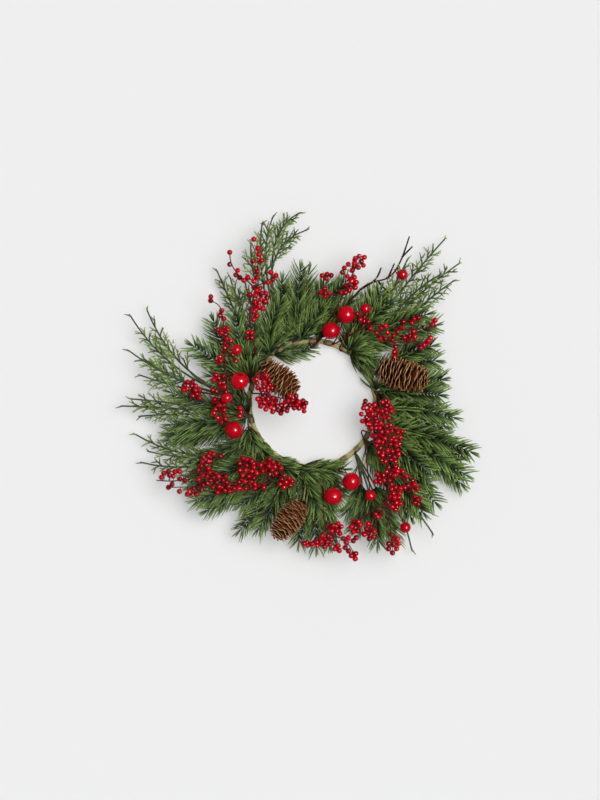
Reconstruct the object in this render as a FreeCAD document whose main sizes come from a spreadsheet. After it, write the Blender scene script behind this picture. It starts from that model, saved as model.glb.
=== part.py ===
import FreeCAD, Part
import math
import os
import Sketcher
from FreeCAD import Placement, Rotation, Vector

# A candle ring: a wire hoop wrapped in two paper strands, with fir and cedar
# branches, berry sprays and pinecones bound to it by paper tape.
# The origin is the middle of the candle opening, on the table, and Z is up.

# Driving dimensions in millimetres, angles in degrees, and counts
SIZES = (
    ("ring_radius", 53.0),
    ("wire_diameter", 1.2),
    ("strand_diameter", 1.9),
    ("strand_turns", 12),
    ("strand_clearance", 0.1),
    ("strand_end_gap", 1.0),
    ("tape_thickness", 0.4),
    ("tape_width", 5.0),
    ("tape_count", 24),
    ("seat_gap", 0.15),
    ("tang_side", 1.2),
    ("tang_reach", 1.5),
    ("needle_length", 14.0),
    ("needle_pitch", 9.5),
    ("needle_thickness", 0.8),
    ("fir_twig_width", 1.8),
    ("leaf_length", 12.0),
    ("leaf_pitch", 16.0),
    ("leaf_thickness", 0.8),
    ("cedar_twig_width", 1.3),
    ("spray_height", 15.0),
    ("stem_diameter", 1.3),
    ("twig_diameter", 1.7),
    ("small_berry_diameter", 4.3),
    ("medium_berry_diameter", 9.0),
    ("large_berry_diameter", 15.0),
    ("berry_gap", 0.12),
    ("pinecone_length", 44.0),
    ("pinecone_diameter", 27.0),
    ("pinecone_wire_diameter", 1.6),
    ("scale_count", 36),
    ("scale_width", 8.0),
    ("scale_thickness", 1.0),
)

# Places read from the picture, in its pixels, and the ring as it shows there
PICTURE_CENTRE_PIXELS = (312.5, 404.0)
PICTURE_RING_RADIUS_PIXELS = 63.0

# How fast branches of each layer rise away from the ring
LAYER_RISE_SHARES = (0.01, 0.05, 0.09, 0.13, 0.17, 0.21, 0.25, 0.29)
FIR_NEEDLE_ANGLE = 50.0
CEDAR_LEAF_ANGLE = 36.0
FIR_BASE_SHARE = 1.0
CEDAR_BASE_SHARE = 0.3
TIP_SHORTENING_SHARE = 0.45
STRAND_STATIONS_PER_TURN = 5
STRAND_SIDES = 5
WIRE_STATIONS = 60
WIRE_SIDES = 4
TANG_FIT_SHARE = 0.8
BERRY_CORNER_SHARE = 1.1
BERRY_SIDES = 3
BERRY_LEVELS = 2
GOLDEN_ANGLE = 180.0 * (3.0 - math.sqrt(5.0))

# Fir branches: name number, tape number, slot across the tape, then its twigs.
# A twig has the corner of its bend and its tip in pixels, its layer and its bare share.
FIR_BRANCHES = (
    (1, 7, 1, (
        ((293, 325), (303, 262), 4, 0.12), ((301, 318), (313, 270), 2, 0.15),
        ((288, 330), (284, 298), 0, 0.1), ((306, 330), (322, 306), 6, 0.1),
    )),
    (2, 9, 1, (
        ((262, 332), (285, 297), 7, 0.12), ((293, 356), (315, 348), 5, 0.2), ((270, 340), (300, 320), 2, 0.05),
    )),
    (3, 6, 1, (
        ((323, 300), (351, 278), 4, 0.15), ((316, 330), (338, 313), 2, 0.15), ((308, 311), (329, 286), 0, 0.2),
    )),
    (4, 4, -1, (((366, 347), (388, 360), 4, 0.2), ((350, 332), (366, 304), 2, 0.1))),
    (5, 4, 1, (
        ((398, 333), (443, 324), 2, 0.15), ((392, 322), (434, 313), 4, 0.15),
        ((362, 323), (396, 298), 6, 0.1), ((372, 340), (404, 318), 0, 0.1),
    )),
    (6, 2, 1, (((410, 355), (447, 364), 0, 0.15), ((398, 347), (434, 347), 3, 0.15))),
    (7, 1, 1, (
        ((420, 383), (450, 381), 2, 0.15), ((420, 391), (448, 396), 5, 0.2), ((384, 396), (392, 421), 0, 0.1),
    )),
    (8, 0, 1, (((422, 406), (460, 420), 4, 0.12), ((405, 412), (450, 432), 1, 0.1))),
    (9, 23, 1, (((425, 426), (475, 451), 6, 0.12), ((422, 436), (469, 461), 2, 0.15))),
    (10, 23, -1, (
        ((422, 446), (469, 477), 4, 0.15), ((415, 459), (454, 489), 0, 0.2), ((400, 448), (436, 478), 7, 0.15),
    )),
    (11, 22, 1, (
        ((403, 466), (441, 504), 2, 0.15), ((398, 477), (432, 516), 5, 0.15), ((392, 455), (424, 494), 0, 0.12),
    )),
    (12, 21, 1, (
        ((376, 500), (379, 543), 4, 0.15), ((386, 496), (401, 542), 2, 0.15), ((371, 498), (349, 511), 0, 0.3),
    )),
    (13, 19, 1, (((328, 505), (330, 550), 2, 0.12), ((333, 490), (337, 514), 4, 0.15))),
    (14, 18, 1, (((313, 505), (317, 551), 1, 0.12), ((303, 505), (300, 545), 0, 0.15))),
    (15, 17, 1, (
        ((272, 497), (237, 531), 2, 0.12), ((278, 500), (255, 525), 4, 0.15), ((288, 485), (284, 512), 0, 0.1),
    )),
    (16, 16, 1, (
        ((246, 485), (193, 495), 0, 0.12), ((243, 497), (212, 512), 3, 0.15), ((246, 462), (208, 480), 5, 0.1),
    )),
    (17, 14, 1, (
        ((232, 455), (182, 464), 3, 0.15), ((258, 463), (296, 472), 5, 0.15), ((228, 468), (188, 484), 0, 0.12),
    )),
    (18, 13, 1, (
        ((220, 424), (165, 430), 4, 0.12), ((212, 408), (162, 389), 3, 0.12), ((216, 438), (168, 445), 0, 0.12),
    )),
    (19, 11, 1, (
        ((222, 378), (190, 350), 6, 0.15), ((226, 358), (211, 313), 2, 0.15), ((240, 352), (236, 318), 4, 0.1),
    )),
    (20, 17, -1, (((316, 472), (341, 473), 5, 0.15), ((306, 488), (318, 510), 7, 0.12))),
)

# Cedar branches, in the same form
CEDAR_BRANCHES = (
    (1, 8, 1, (
        ((254, 236), (298, 214), 0, 0.4), ((252, 252), (307, 232), 1, 0.45),
        ((262, 272), (277, 219), 2, 0.4), ((258, 290), (262, 234), 4, 0.5), ((250, 290), (251, 244), 6, 0.55),
    )),
    (2, 10, 0, (
        ((236, 315), (218, 273), 0, 0.4), ((242, 315), (231, 277), 2, 0.45), ((244, 320), (239, 289), 4, 0.5),
    )),
    (3, 12, 1, (
        ((190, 375), (148, 313), 0, 0.35), ((185, 378), (133, 320), 1, 0.35),
        ((190, 385), (133, 353), 3, 0.35), ((196, 365), (182, 350), 5, 0.6), ((198, 392), (147, 373), 7, 0.45),
    )),
    (4, 13, -1, (
        ((185, 408), (124, 406), 1, 0.45), ((190, 412), (143, 416), 0, 0.5), ((192, 404), (133, 399), 3, 0.5),
    )),
    (5, 15, 1, (
        ((196, 470), (137, 435), 0, 0.4), ((200, 476), (145, 463), 1, 0.4), ((204, 464), (152, 452), 3, 0.45),
    )),
    (6, 3, 1, (
        ((400, 288), (446, 242), 0, 0.3), ((411, 298), (460, 264), 2, 0.3), ((390, 296), (406, 262), 4, 0.45),
    )),
    (7, 22, -1, (
        ((408, 510), (413, 550), 0, 0.4), ((415, 500), (432, 533), 1, 0.45),
    )),
    (8, 3, -1, (
        ((416, 307), (452, 282), 1, 0.36), ((402, 318), (431, 302), 3, 0.42), ((400, 296), (438, 276), 5, 0.45),
    )),
)

# Berry sprays: name number, tape number, slot, height share, stems, berries.
# The first stem grows from the ring, and the others from stems before them.
BERRY_SPRAYS = (
    (1, 10, 1, 1.25, (
        ((252, 345), (250, 320), (255, 290), (258, 262), (250, 240)),
        ((256, 289), (247, 281), (240, 277), (232, 265), (230, 254)),
        ((256, 288), (273, 278)),
    ), (
        (254, 240), (258, 249), (259, 255), (262, 261), (253, 262), (256, 269), (257, 278),
        (254, 282), (268, 283), (260, 289), (254, 288), (256, 294), (250, 295), (266, 294),
        (267, 298), (254, 303), (259, 303), (265, 303), (255, 308), (260, 308), (254, 312),
        (254, 320), (252, 333), (252, 338), (230, 253), (230, 265), (238, 271), (240, 278),
        (244, 281), (248, 278), (271, 273), (276, 276), (273, 280),
    )),
    (2, 12, 0, 1.1, (
        ((236, 396), (228, 375), (225, 350), (222, 311), (211, 301)),
        ((229, 377), (212, 393), (194, 390)),
        ((234, 394), (220, 404), (222, 420)),
    ), (
        (211, 301), (222, 311), (224, 319), (218, 330), (224, 328), (228, 330), (226, 335),
        (227, 339), (231, 341), (225, 343), (225, 348), (225, 352), (233, 355), (236, 361),
        (221, 361), (218, 362), (216, 375), (219, 378), (224, 376), (214, 380), (220, 383),
        (222, 387), (213, 390), (226, 392), (188, 382), (185, 385), (184, 390), (193, 382),
        (192, 386), (196, 386), (193, 391), (196, 390), (200, 390), (197, 394), (193, 396),
        (200, 398), (215, 399), (218, 402), (220, 405), (224, 405), (214, 413), (222, 411),
        (218, 418), (226, 419), (222, 422), (240, 408), (241, 412), (240, 416),
    )),
    (3, 11, -1, 1.78, (
        ((252, 390), (262, 394), (285, 399), (303, 404)),
        ((260, 393), (262, 378)),
    ), (
        (258, 376), (262, 378), (266, 375), (264, 382), (269, 380), (270, 385), (257, 383),
        (258, 388), (268, 388), (272, 388), (263, 393), (268, 395), (258, 399), (264, 402),
        (269, 402), (261, 406), (266, 409), (271, 407), (275, 405), (281, 405), (278, 410),
        (284, 409), (281, 413), (290, 396), (296, 396), (288, 401), (294, 401), (299, 402),
        (290, 405), (294, 408), (299, 408), (303, 401), (306, 403), (304, 407), (304, 411),
    )),
    (4, 17, 0, 1.15, (
        ((290, 484), (262, 485), (215, 486), (168, 487)),
        ((238, 485), (205, 470), (180, 480), (157, 480)),
        ((276, 484), (272, 466), (246, 461)),
    ), (
        (269, 459), (273, 462), (265, 463), (269, 466), (279, 464), (281, 468), (267, 468),
        (272, 470), (270, 474), (276, 473), (243, 458), (247, 460), (252, 461), (240, 463),
        (247, 465), (258, 464), (254, 467), (240, 470), (246, 470), (252, 471), (257, 473),
        (243, 475), (249, 476), (254, 478), (245, 481), (284, 475), (289, 478), (282, 479),
        (286, 482), (292, 481), (280, 484), (284, 487), (290, 485), (236, 484), (239, 488),
        (246, 488), (251, 486), (255, 488), (259, 485), (264, 487), (204, 457), (209, 456),
        (203, 461), (209, 461), (207, 465), (209, 468), (221, 456), (214, 454), (206, 472),
        (203, 475), (199, 470), (199, 479), (216, 473), (210, 472), (214, 477), (219, 476),
        (208, 483), (213, 487), (217, 482), (222, 487), (226, 476), (227, 482), (229, 486),
        (225, 490), (230, 491), (218, 492), (190, 491), (194, 488), (197, 494), (202, 489),
        (169, 487), (180, 491), (169, 471), (170, 475), (162, 477), (180, 471), (185, 480),
    )),
    (5, 6, 0, 1.3, (
        ((345, 318), (343, 295), (352, 275), (360, 260)),
        ((343, 295), (324, 293), (324, 276)),
    ), (
        (359, 257), (364, 258), (355, 259), (361, 262), (363, 266), (358, 268), (354, 264),
        (348, 265), (352, 271), (342, 273), (354, 278), (347, 277), (351, 282), (356, 283),
        (355, 288), (346, 286), (349, 291), (322, 276), (327, 275), (331, 276), (321, 293),
        (325, 294), (329, 294), (341, 293),
    )),
    (6, 5, 0, 1.15, (
        ((350, 318), (372, 325), (400, 330), (436, 327)),
        ((378, 326), (388, 342), (414, 341)),
    ), (
        (357, 314), (360, 320), (364, 321), (368, 322), (370, 329), (376, 333), (381, 328),
        (385, 326), (387, 333), (380, 339), (385, 339), (392, 340), (393, 336), (397, 332),
        (401, 328), (403, 322), (411, 323), (414, 319), (418, 318), (432, 325), (413, 332),
        (414, 337), (404, 338), (408, 341), (428, 341), (430, 338), (427, 343), (420, 348),
        (395, 347), (394, 352), (394, 357),
    )),
    (7, 1, 0, 1.35, (
        ((376, 392), (381, 405), (386, 440), (388, 480), (386, 505)),
        ((383, 418), (371, 420)),
        ((387, 470), (408, 482), (414, 499)),
        ((386, 500), (392, 545)),
        ((386, 502), (368, 535)),
        ((386, 500), (355, 522)),
    ), (
        (385, 400), (382, 402), (388, 402), (386, 405), (390, 407), (385, 409), (391, 411),
        (386, 413), (388, 418), (380, 413), (374, 405), (374, 409), (377, 410), (372, 414),
        (375, 418), (368, 419), (376, 421), (369, 424), (375, 424), (380, 423), (369, 428),
        (375, 428), (379, 428), (375, 436), (379, 434), (378, 441), (376, 445), (382, 442),
        (380, 448), (378, 452), (390, 425), (395, 428), (391, 431), (397, 432), (393, 437),
        (400, 437), (385, 434), (395, 440), (396, 445), (390, 444), (397, 450), (392, 451),
        (398, 454), (389, 455), (394, 457), (382, 455), (381, 460), (395, 461), (388, 467),
        (395, 466), (394, 470), (377, 474), (383, 475), (379, 478), (375, 481), (389, 475),
        (394, 475), (389, 480), (391, 484), (391, 489), (395, 487), (400, 488), (393, 493),
        (394, 497), (398, 497), (396, 502), (400, 503), (387, 502), (395, 509), (402, 471),
        (406, 476), (408, 485), (414, 484), (412, 490), (414, 497), (417, 499), (414, 502),
        (380, 512), (377, 516), (391, 534), (397, 538), (388, 543), (393, 544), (398, 543),
        (388, 548), (396, 548), (392, 552), (371, 527), (368, 523), (366, 528), (364, 534),
        (368, 533), (374, 531), (369, 538), (373, 536), (354, 521), (358, 521), (351, 526),
        (355, 527), (353, 531),
    )),
    (8, 19, 0, 1.15, (
        ((308, 508), (325, 525), (345, 540), (354, 553)),
        ((328, 528), (308, 543), (296, 538)),
    ), (
        (356, 537), (348, 537), (340, 533), (343, 538), (338, 545), (339, 550), (345, 547),
        (353, 553), (333, 525), (338, 523), (330, 526), (335, 528), (341, 526), (337, 530),
        (322, 535), (328, 535), (321, 541), (327, 541), (324, 546), (330, 544), (307, 542),
        (312, 543), (317, 545), (304, 543),
    )),
)

# Large and medium berries: middle in pixels, height share, tape and slot
LARGE_BERRIES = (
    ((331, 331), 0.95, 5, -1), ((346, 315), 1.25, 5, 1), ((240, 381), 1.75, 12, 1),
    ((234, 430), 1.2, 14, 0), ((351, 481), 1.1, 20, 0), ((333, 496), 1.1, 20, 1),
)
MEDIUM_BERRIES = (
    ((365, 309), 1.35, 4, 0), ((402, 275), 0.95, 3, 0), ((237, 350), 1.7, 11, 0),
    ((227, 398), 1.75, 13, 0), ((370, 495), 1.35, 22, 0), ((405, 527), 1.0, 22, -1),
)

# Pinecones: number, stalk end and tip in pixels, height shares of both ends,
# length share, diameter share, tape and slot
PINECONES = (
    (1, (378, 369), (428, 381), 0.95, 1.2, 1.0, 1.0, 2, 0),
    (2, (262, 366), (294, 391), 1.05, 1.0, 0.86, 1.0, 10, -1),
    (3, (302, 506), (276, 536), 0.9, 1.1, 0.82, 0.86, 18, 0),
)
PINECONE_SHAPE_SHARES = ((0.0, 0.5), (0.12, 0.86), (0.38, 1.0), (0.66, 0.84), (0.88, 0.5), (1.0, 0.2))
PINECONE_CORE_SHARE = 0.5
PINECONE_SIDES = 8
SCALE_LEAN_SHARE = 0.75

# The bare dark twig: its main stem and side twigs, in pixels
TWIG_STEMS = (
    ((343, 300), (360, 290), (388, 278), (400, 262), (409, 237)),
    ((360, 291), (375, 280), (381, 268)),
    ((402, 258), (412, 247)),
    ((388, 278), (394, 264)),
    ((378, 282), (388, 293)),
)
TWIG_TAPE = 6
TWIG_SLOT = -1
TWIG_HEIGHT_SHARE = 0.85

# Sums of sizes: how much of each size a length holds
RING_HALF = {"wire_diameter": 0.5, "strand_clearance": 1, "strand_diameter": 1}
RING_CLEARED = {**RING_HALF, "seat_gap": 1}
RING_HEIGHT = {**RING_CLEARED, "tape_thickness": 1}
TAPE_BOTTOM_SHARE = 0.577
TAPE_SIDE_SHARE = 1.155
TAPE_TOP_SHARE = 0.8

doc = FreeCAD.newDocument("candle_ring")
sheet = doc.addObject("Spreadsheet::Sheet", "Sizes")


def fill_sheet():
    """Write the driving dimensions into the sheet, one alias for each."""
    for row, (alias, value) in enumerate(SIZES, start=1):
        sheet.set("A%d" % row, alias)
        sheet.set("B%d" % row, str(value))
        sheet.setAlias("B%d" % row, alias)
    doc.recompute()


fill_sheet()
size = {alias: float(sheet.get(alias)) for alias, value in SIZES}


def length(parts):
    """Return a sum of sizes as a number."""
    return sum(size[alias] * factor for alias, factor in parts.items())


def formula(parts):
    """Return the same sum as an expression on the sheet."""
    return " + ".join("%s * Sizes.%s" % (factor, alias) for alias, factor in parts.items())


def added(*sums):
    """Return one sum of sizes from pairs of a sum and its factor."""
    whole = {}
    for parts, factor in sums:
        for alias, share in parts.items():
            whole[alias] = whole.get(alias, 0) + share * factor
    return whole


# Places that follow from the sizes
ring_half = length(RING_HALF)
ring_height = length(RING_HEIGHT)
tang_height = ring_height + ring_half + size["seat_gap"] + size["tang_side"] / 2
slot_step = size["tang_side"] + size["seat_gap"]
tape_step = 360.0 / round(size["tape_count"])
pixel = size["ring_radius"] / PICTURE_RING_RADIUS_PIXELS


def spot(place, height=0.0):
    """Return the point that stands over a place in the picture."""
    across = (place[0] - PICTURE_CENTRE_PIXELS[0]) * pixel
    along = (PICTURE_CENTRE_PIXELS[1] - place[1]) * pixel
    return Vector(across, along, height)


def level(share):
    """Return the height of a spray, from its share of the spray height."""
    return tang_height + share * size["spray_height"]


def root(tape, slot, toward):
    """Return the middle of a stem's tang in its tape, and the way it leaves."""
    angle = math.radians(tape * tape_step)
    radius = size["ring_radius"] + slot * slot_step
    middle = Vector(radius * math.cos(angle), radius * math.sin(angle), tang_height)
    way = Vector(-math.sin(angle), math.cos(angle), 0)
    if (toward - middle).dot(way) < 0:
        way = way * -1
    return middle, way


def tang_run(tape, slot, toward):
    """Return the two ends of a stem's straight run through its tape."""
    middle, way = root(tape, slot, toward)
    start = middle - way * (size["tape_width"] / 2)
    return start, middle + way * (size["tape_width"] / 2 + size["tang_reach"])


def feature(label, shape):
    """Add a sub-part whose shape is made from the sizes in the sheet."""
    part = doc.addObject("Part::Feature", label)
    part.Label = label
    part.Shape = shape
    part.Placement = Placement()
    return part


def polyhedron(points, loops):
    """Return the closed solid with these corners and flat faces."""
    faces = []
    for loop in loops:
        corners = [points[number] for number in loop]
        faces.append(Part.Face(Part.makePolygon(corners + corners[:1])))
    solid = Part.Solid(Part.Shell(faces))
    if solid.Volume < 0:
        solid.reverse()
    return solid


def ringed_solid(rings, first, last):
    """Return a solid through rings of corners, each turned half a side."""
    sides = len(rings[0])
    points = [first] + [corner for ring in rings for corner in ring] + [last]
    loops = []
    for side in range(sides):
        following = (side + 1) % sides
        loops.append((0, 1 + side, 1 + following))
        for number in range(len(rings) - 1):
            low = 1 + number * sides
            high = low + sides
            near = high + (side + number % 2) % sides
            far = high + (following + number % 2) % sides
            loops.append((low + side, near, low + following))
            loops.append((low + following, near, far))
        top = 1 + (len(rings) - 1) * sides
        loops.append((top + side, len(points) - 1, top + following))
    return polyhedron(points, loops)


def corner_ring(radius, height, sides, turned):
    """Return one ring of corners about the Z axis."""
    ring = []
    for side in range(sides):
        angle = 2 * math.pi * (side + turned / 2) / sides
        ring.append(Vector(radius * math.cos(angle), radius * math.sin(angle), height))
    return ring


def ball(middle, radius, sides, levels):
    """Return a faceted ball with a corner at its top and bottom."""
    rings = []
    for number in range(levels):
        lift = math.pi * ((number + 1) / (levels + 1) - 1 / 2)
        rings.append(corner_ring(radius * math.cos(lift), radius * math.sin(lift), sides, number % 2))
    pole = Vector(0, 0, radius)
    solid = ringed_solid(rings, pole * -1, pole)
    solid.translate(middle)
    return solid


def rod(points, diameter):
    """Return a three-sided rod along straight runs through the points."""
    way = (points[1] - points[0]).normalize()
    across = way.cross(Vector(0, 0, 1))
    if across.Length < 0.1:
        across = Vector(1, 0, 0)
    across.normalize()
    upward = across.cross(way)
    corners = []
    for corner in range(3):
        angle = math.radians(90 + 120 * corner)
        out = across * math.cos(angle) + upward * math.sin(angle)
        corners.append(points[0] + out * (diameter / 2))
    section = Part.makePolygon(corners + corners[:1])
    return Part.Wire(Part.makePolygon(points)).makePipeShell([section], True, False, 1)


def bound_outline(sketch, corners):
    """Draw a closed outline whose corners follow the sheet."""
    first = sketch.GeometryCount
    count = len(corners)
    ends = [Vector(length(across), length(upward), 0) for across, upward in corners]
    for number in range(count):
        sketch.addGeometry(Part.LineSegment(ends[number], ends[(number + 1) % count]), False)
    for number, (across, upward) in enumerate(corners):
        line = first + number
        before = first + (number - 1) % count
        sketch.addConstraint(Sketcher.Constraint("Coincident", before, 2, line, 1))
        for kind, parts in (("DistanceX", across), ("DistanceY", upward)):
            row = sketch.addConstraint(Sketcher.Constraint(kind, -1, 1, line, 1, length(parts)))
            sketch.setExpression("Constraints[%d]" % row, formula(parts))


def section_sketch(body, name):
    """Return a new sketch on the body's own upright plane through X."""
    sketch = body.newObject("Sketcher::SketchObject", name)
    upright = [part for part in body.Origin.OriginFeatures if part.Role == "XZ_Plane"][0]
    sketch.AttachmentSupport = [(upright, "")]
    sketch.MapMode = "FlatFace"
    return sketch


def tape_corners(cover):
    """Return the six corners of a tape's inner or outer outline."""
    cleared = added((RING_CLEARED, 1), (cover, 1))
    top = added((RING_HEIGHT, 1), (RING_CLEARED, 1), ({"tang_side": 1, "seat_gap": 1}, 1), (cover, 1))
    bottom = added((RING_HEIGHT, 1), (cleared, -1))
    corners = []
    for side, share, upward in (
        (-1, TAPE_BOTTOM_SHARE, bottom), (1, TAPE_BOTTOM_SHARE, bottom), (1, TAPE_SIDE_SHARE, RING_HEIGHT),
        (1, TAPE_TOP_SHARE, top), (-1, TAPE_TOP_SHARE, top), (-1, TAPE_SIDE_SHARE, RING_HEIGHT),
    ):
        corners.append((added(({"ring_radius": 1}, 1), (cleared, side * share)), upward))
    return corners


def binding_tape():
    """The paper tapes round the ring and the stems, flat where they stand."""
    body = doc.addObject("PartDesign::Body", "binding_tape")
    body.Label = "binding_tape"
    body.AllowCompound = True
    sketch = section_sketch(body, "binding_tape_section")
    bound_outline(sketch, tape_corners({"tape_thickness": 1}))
    bound_outline(sketch, tape_corners({}))
    pad = body.newObject("PartDesign::Pad", "binding_tape_pad")
    pad.Profile = sketch
    pad.setExpression("Length", "Sizes.tape_width")
    pad.Midplane = True
    doc.recompute()
    pattern = body.newObject("PartDesign::PolarPattern", "binding_tape_pattern")
    pattern.Originals = [pad]
    upright = [part for part in body.Origin.OriginFeatures if part.Role == "Z_Axis"][0]
    pattern.Axis = (upright, [""])
    pattern.Angle = 360
    pattern.setExpression("Occurrences", "Sizes.tape_count")
    body.Tip = pattern
    return body


def winding_line(out, turns, phase, stations):
    """Return points that wind round the ring's middle line, not quite closed."""
    margin = size["strand_end_gap"] / size["ring_radius"] / 2
    line = []
    for number in range(stations + 1):
        angle = margin + (2 * math.pi - 2 * margin) * number / stations
        radius = size["ring_radius"] + out * math.cos(phase + turns * angle)
        height = ring_height + out * math.sin(phase + turns * angle)
        line.append(Vector(radius * math.cos(angle), radius * math.sin(angle), height))
    return line


def faceted_tube(line, radius, sides):
    """Return one unbroken tube with flat faces along a line round Z."""
    sections = []
    for middle in line:
        outward = Vector(middle.x, middle.y, 0).normalize()
        corners = []
        for side in range(sides):
            angle = 2 * math.pi * (side + 1 / 2) / sides
            out = outward * math.cos(angle) + Vector(0, 0, 1) * math.sin(angle)
            corners.append(middle + out * radius)
        sections.append(Part.makePolygon(corners + corners[:1]))
    return Part.makeLoft(sections, True, True)


def ring_wire():
    """The steel hoop in the middle of the ring, its ends under one tape."""
    line = winding_line(0.0, 0, 0.0, WIRE_STATIONS)
    return feature("ring_wire", faceted_tube(line, size["wire_diameter"] / 2, WIRE_SIDES))


def ring_strand(label, phase):
    """One paper strand of the ring, wound round the wire from end to end."""
    out = size["wire_diameter"] / 2 + size["strand_clearance"] + size["strand_diameter"] / 2
    turns = round(size["strand_turns"])
    line = winding_line(out, turns, phase, turns * STRAND_STATIONS_PER_TURN)
    gap = (line[0] - line[-1]).Length
    print("%s least gap to itself %.2f mm between its ends" % (label, gap))
    return feature(label, faceted_tube(line, size["strand_diameter"] / 2, STRAND_SIDES))


class Foliage:
    """The sizes of one kind of branch: its leaves and its woody twig."""

    def __init__(self, leaf_length, pitch, thickness, width, angle, base_share):
        self.leaf_length = size[leaf_length]
        self.pitch = size[pitch]
        self.thickness = thickness
        self.half_width = size[width] / 2
        self.angle = math.radians(angle)
        self.base_share = base_share


FIR = Foliage(
    "needle_length", "needle_pitch", "needle_thickness", "fir_twig_width",
    FIR_NEEDLE_ANGLE, FIR_BASE_SHARE,
)
CEDAR = Foliage(
    "leaf_length", "leaf_pitch", "leaf_thickness", "cedar_twig_width",
    CEDAR_LEAF_ANGLE, CEDAR_BASE_SHARE,
)


def along(ends, share):
    """Return the point and the direction at a share of a bent twig."""
    start, bend, tip = ends
    point = start * (1 - share) ** 2 + bend * (2 * share * (1 - share)) + tip * share ** 2
    way = (bend - start) * (1 - share) + (tip - bend) * share
    return point, way.normalize()


def leafy_side(ends, bare_share, kind, side):
    """Return one edge of a branch, from its foot to its tip."""
    run = (ends[1] - ends[0]).Length + (ends[2] - ends[1]).Length
    count = max(3, round(run * (1 - bare_share) / kind.pitch))
    step = (1 - bare_share) / count
    edge = []
    point, way = along(ends, 0)
    edge.append(point + Vector(-way.y, way.x, 0) * (side * kind.half_width))
    for number in range(count):
        share = bare_share + step * number
        reach = kind.leaf_length * (1 - TIP_SHORTENING_SHARE * (number / count) ** 2)
        point, way = along(ends, share)
        outward = Vector(-way.y, way.x, 0) * side
        foot = point + outward * kind.half_width
        edge.append(foot)
        edge.append(foot + way * (reach * math.cos(kind.angle)) + outward * (reach * math.sin(kind.angle)))
        if kind.base_share < 1:
            point, way = along(ends, share + step * kind.base_share)
            edge.append(point + Vector(-way.y, way.x, 0) * (side * kind.half_width))
    return edge


def twig_outline(start, twig, kind):
    """Return the flat, tilted outline of one leafy twig."""
    bend, tip, layer, bare_share = twig
    flat_start = Vector(start.x, start.y, 0)
    ends = (flat_start, spot(bend), spot(tip))
    point, way = along(ends, 1)
    apex = point + way * (kind.leaf_length / 4)
    outline = leafy_side(ends, bare_share, kind, 1) + [apex]
    outline += reversed(leafy_side(ends, bare_share, kind, -1))
    heading = (ends[2] - flat_start).normalize()
    rise = LAYER_RISE_SHARES[layer]
    foot = start.z - size[kind.thickness] / 2
    return [Vector(one.x, one.y, foot + rise * (one - flat_start).dot(heading)) for one in outline]


def branch(label, tape, slot, twigs, kind):
    """A branch: its twigs, cut from flat sheet, and its tang in the tape."""
    start, end = tang_run(tape, slot, spot(twigs[0][1]))
    back = (start - end).normalize() * size["tang_reach"]
    pieces = [tang(label, start, end)]
    for number, twig in enumerate(twigs, start=1):
        foot = end + back * (number / (len(twigs) + 1))
        outline = doc.addObject("Part::Polygon", "%s_outline_%d" % (label, number))
        outline.Nodes = twig_outline(foot, twig, kind)
        outline.Close = True
        sheet_twig = doc.addObject("Part::Extrusion", "%s_twig_%d" % (label, number))
        sheet_twig.Base = outline
        sheet_twig.DirMode = "Custom"
        sheet_twig.Dir = Vector(0, 0, 1)
        sheet_twig.setExpression("LengthFwd", "Sizes." + kind.thickness)
        sheet_twig.Solid = True
        pieces.append(sheet_twig)
    part = doc.addObject("Part::MultiFuse", label)
    part.Label = label
    part.Shapes = pieces
    part.Refine = False
    part.Placement = Placement()
    doc.recompute()
    for piece in pieces:
        if not part.Shape.BoundBox.isInside(piece.Shape.BoundBox.Center):
            raise RuntimeError("%s lost %s" % (label, piece.Label))
    return part


def tang(label, start, end):
    """The square foot of a branch, which its tape holds."""
    half = size["tang_side"] / 2
    way = (end - start).normalize()
    across = Vector(-way.y, way.x, 0)
    foot = doc.addObject("Part::Box", label + "_tang")
    foot.setExpression("Length", "Sizes.tape_width + Sizes.tang_reach")
    foot.setExpression("Width", "Sizes.tang_side")
    foot.setExpression("Height", "Sizes.tang_side")
    corner = start - across * half - Vector(0, 0, half)
    foot.Placement = Placement(corner, Rotation(Vector(1, 0, 0), way))
    return foot


def nearest(point, runs):
    """Return the point of the runs that lies nearest in plan."""
    best = None
    for start, end in runs:
        flat = Vector(end.x - start.x, end.y - start.y, 0)
        offset = Vector(point.x - start.x, point.y - start.y, 0)
        share = min(1, max(0, offset.dot(flat) / max(flat.dot(flat), size["seat_gap"] ** 2)))
        candidate = start + (end - start) * share
        apart = math.hypot(candidate.x - point.x, candidate.y - point.y)
        if best is None or apart < best[0]:
            best = (apart, candidate)
    return best


def spray_runs(tape, slot, height, stems):
    """Return the lines of a spray's stems, the first from its tape."""
    start, end = tang_run(tape, slot, spot(stems[0][1]))
    lines = [[start, end] + [spot(place, height) for place in stems[0][1:]]]
    for stem in stems[1:]:
        runs = [pair for line in lines for pair in zip(line[1:], line[2:])]
        apart, foot = nearest(spot(stem[0]), runs)
        lines.append([foot] + [spot(place, height) for place in stem[1:]])
    return lines


def free_height(height, taken):
    """Return the height nearest to the given one that no span takes."""
    choices = [height] + [end for span in taken for end in span]
    free = [one for one in choices if not any(low < one < high for low, high in taken)]
    return min(free, key=lambda one: abs(one - height))


def taken_span(point, other, reach):
    """Return the heights at which a berry over the point meets the other."""
    apart = math.hypot(point.x - other.x, point.y - other.y)
    if apart >= reach:
        return []
    half = math.sqrt(reach ** 2 - apart ** 2)
    return [(other.z - half, other.z + half)]


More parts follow.
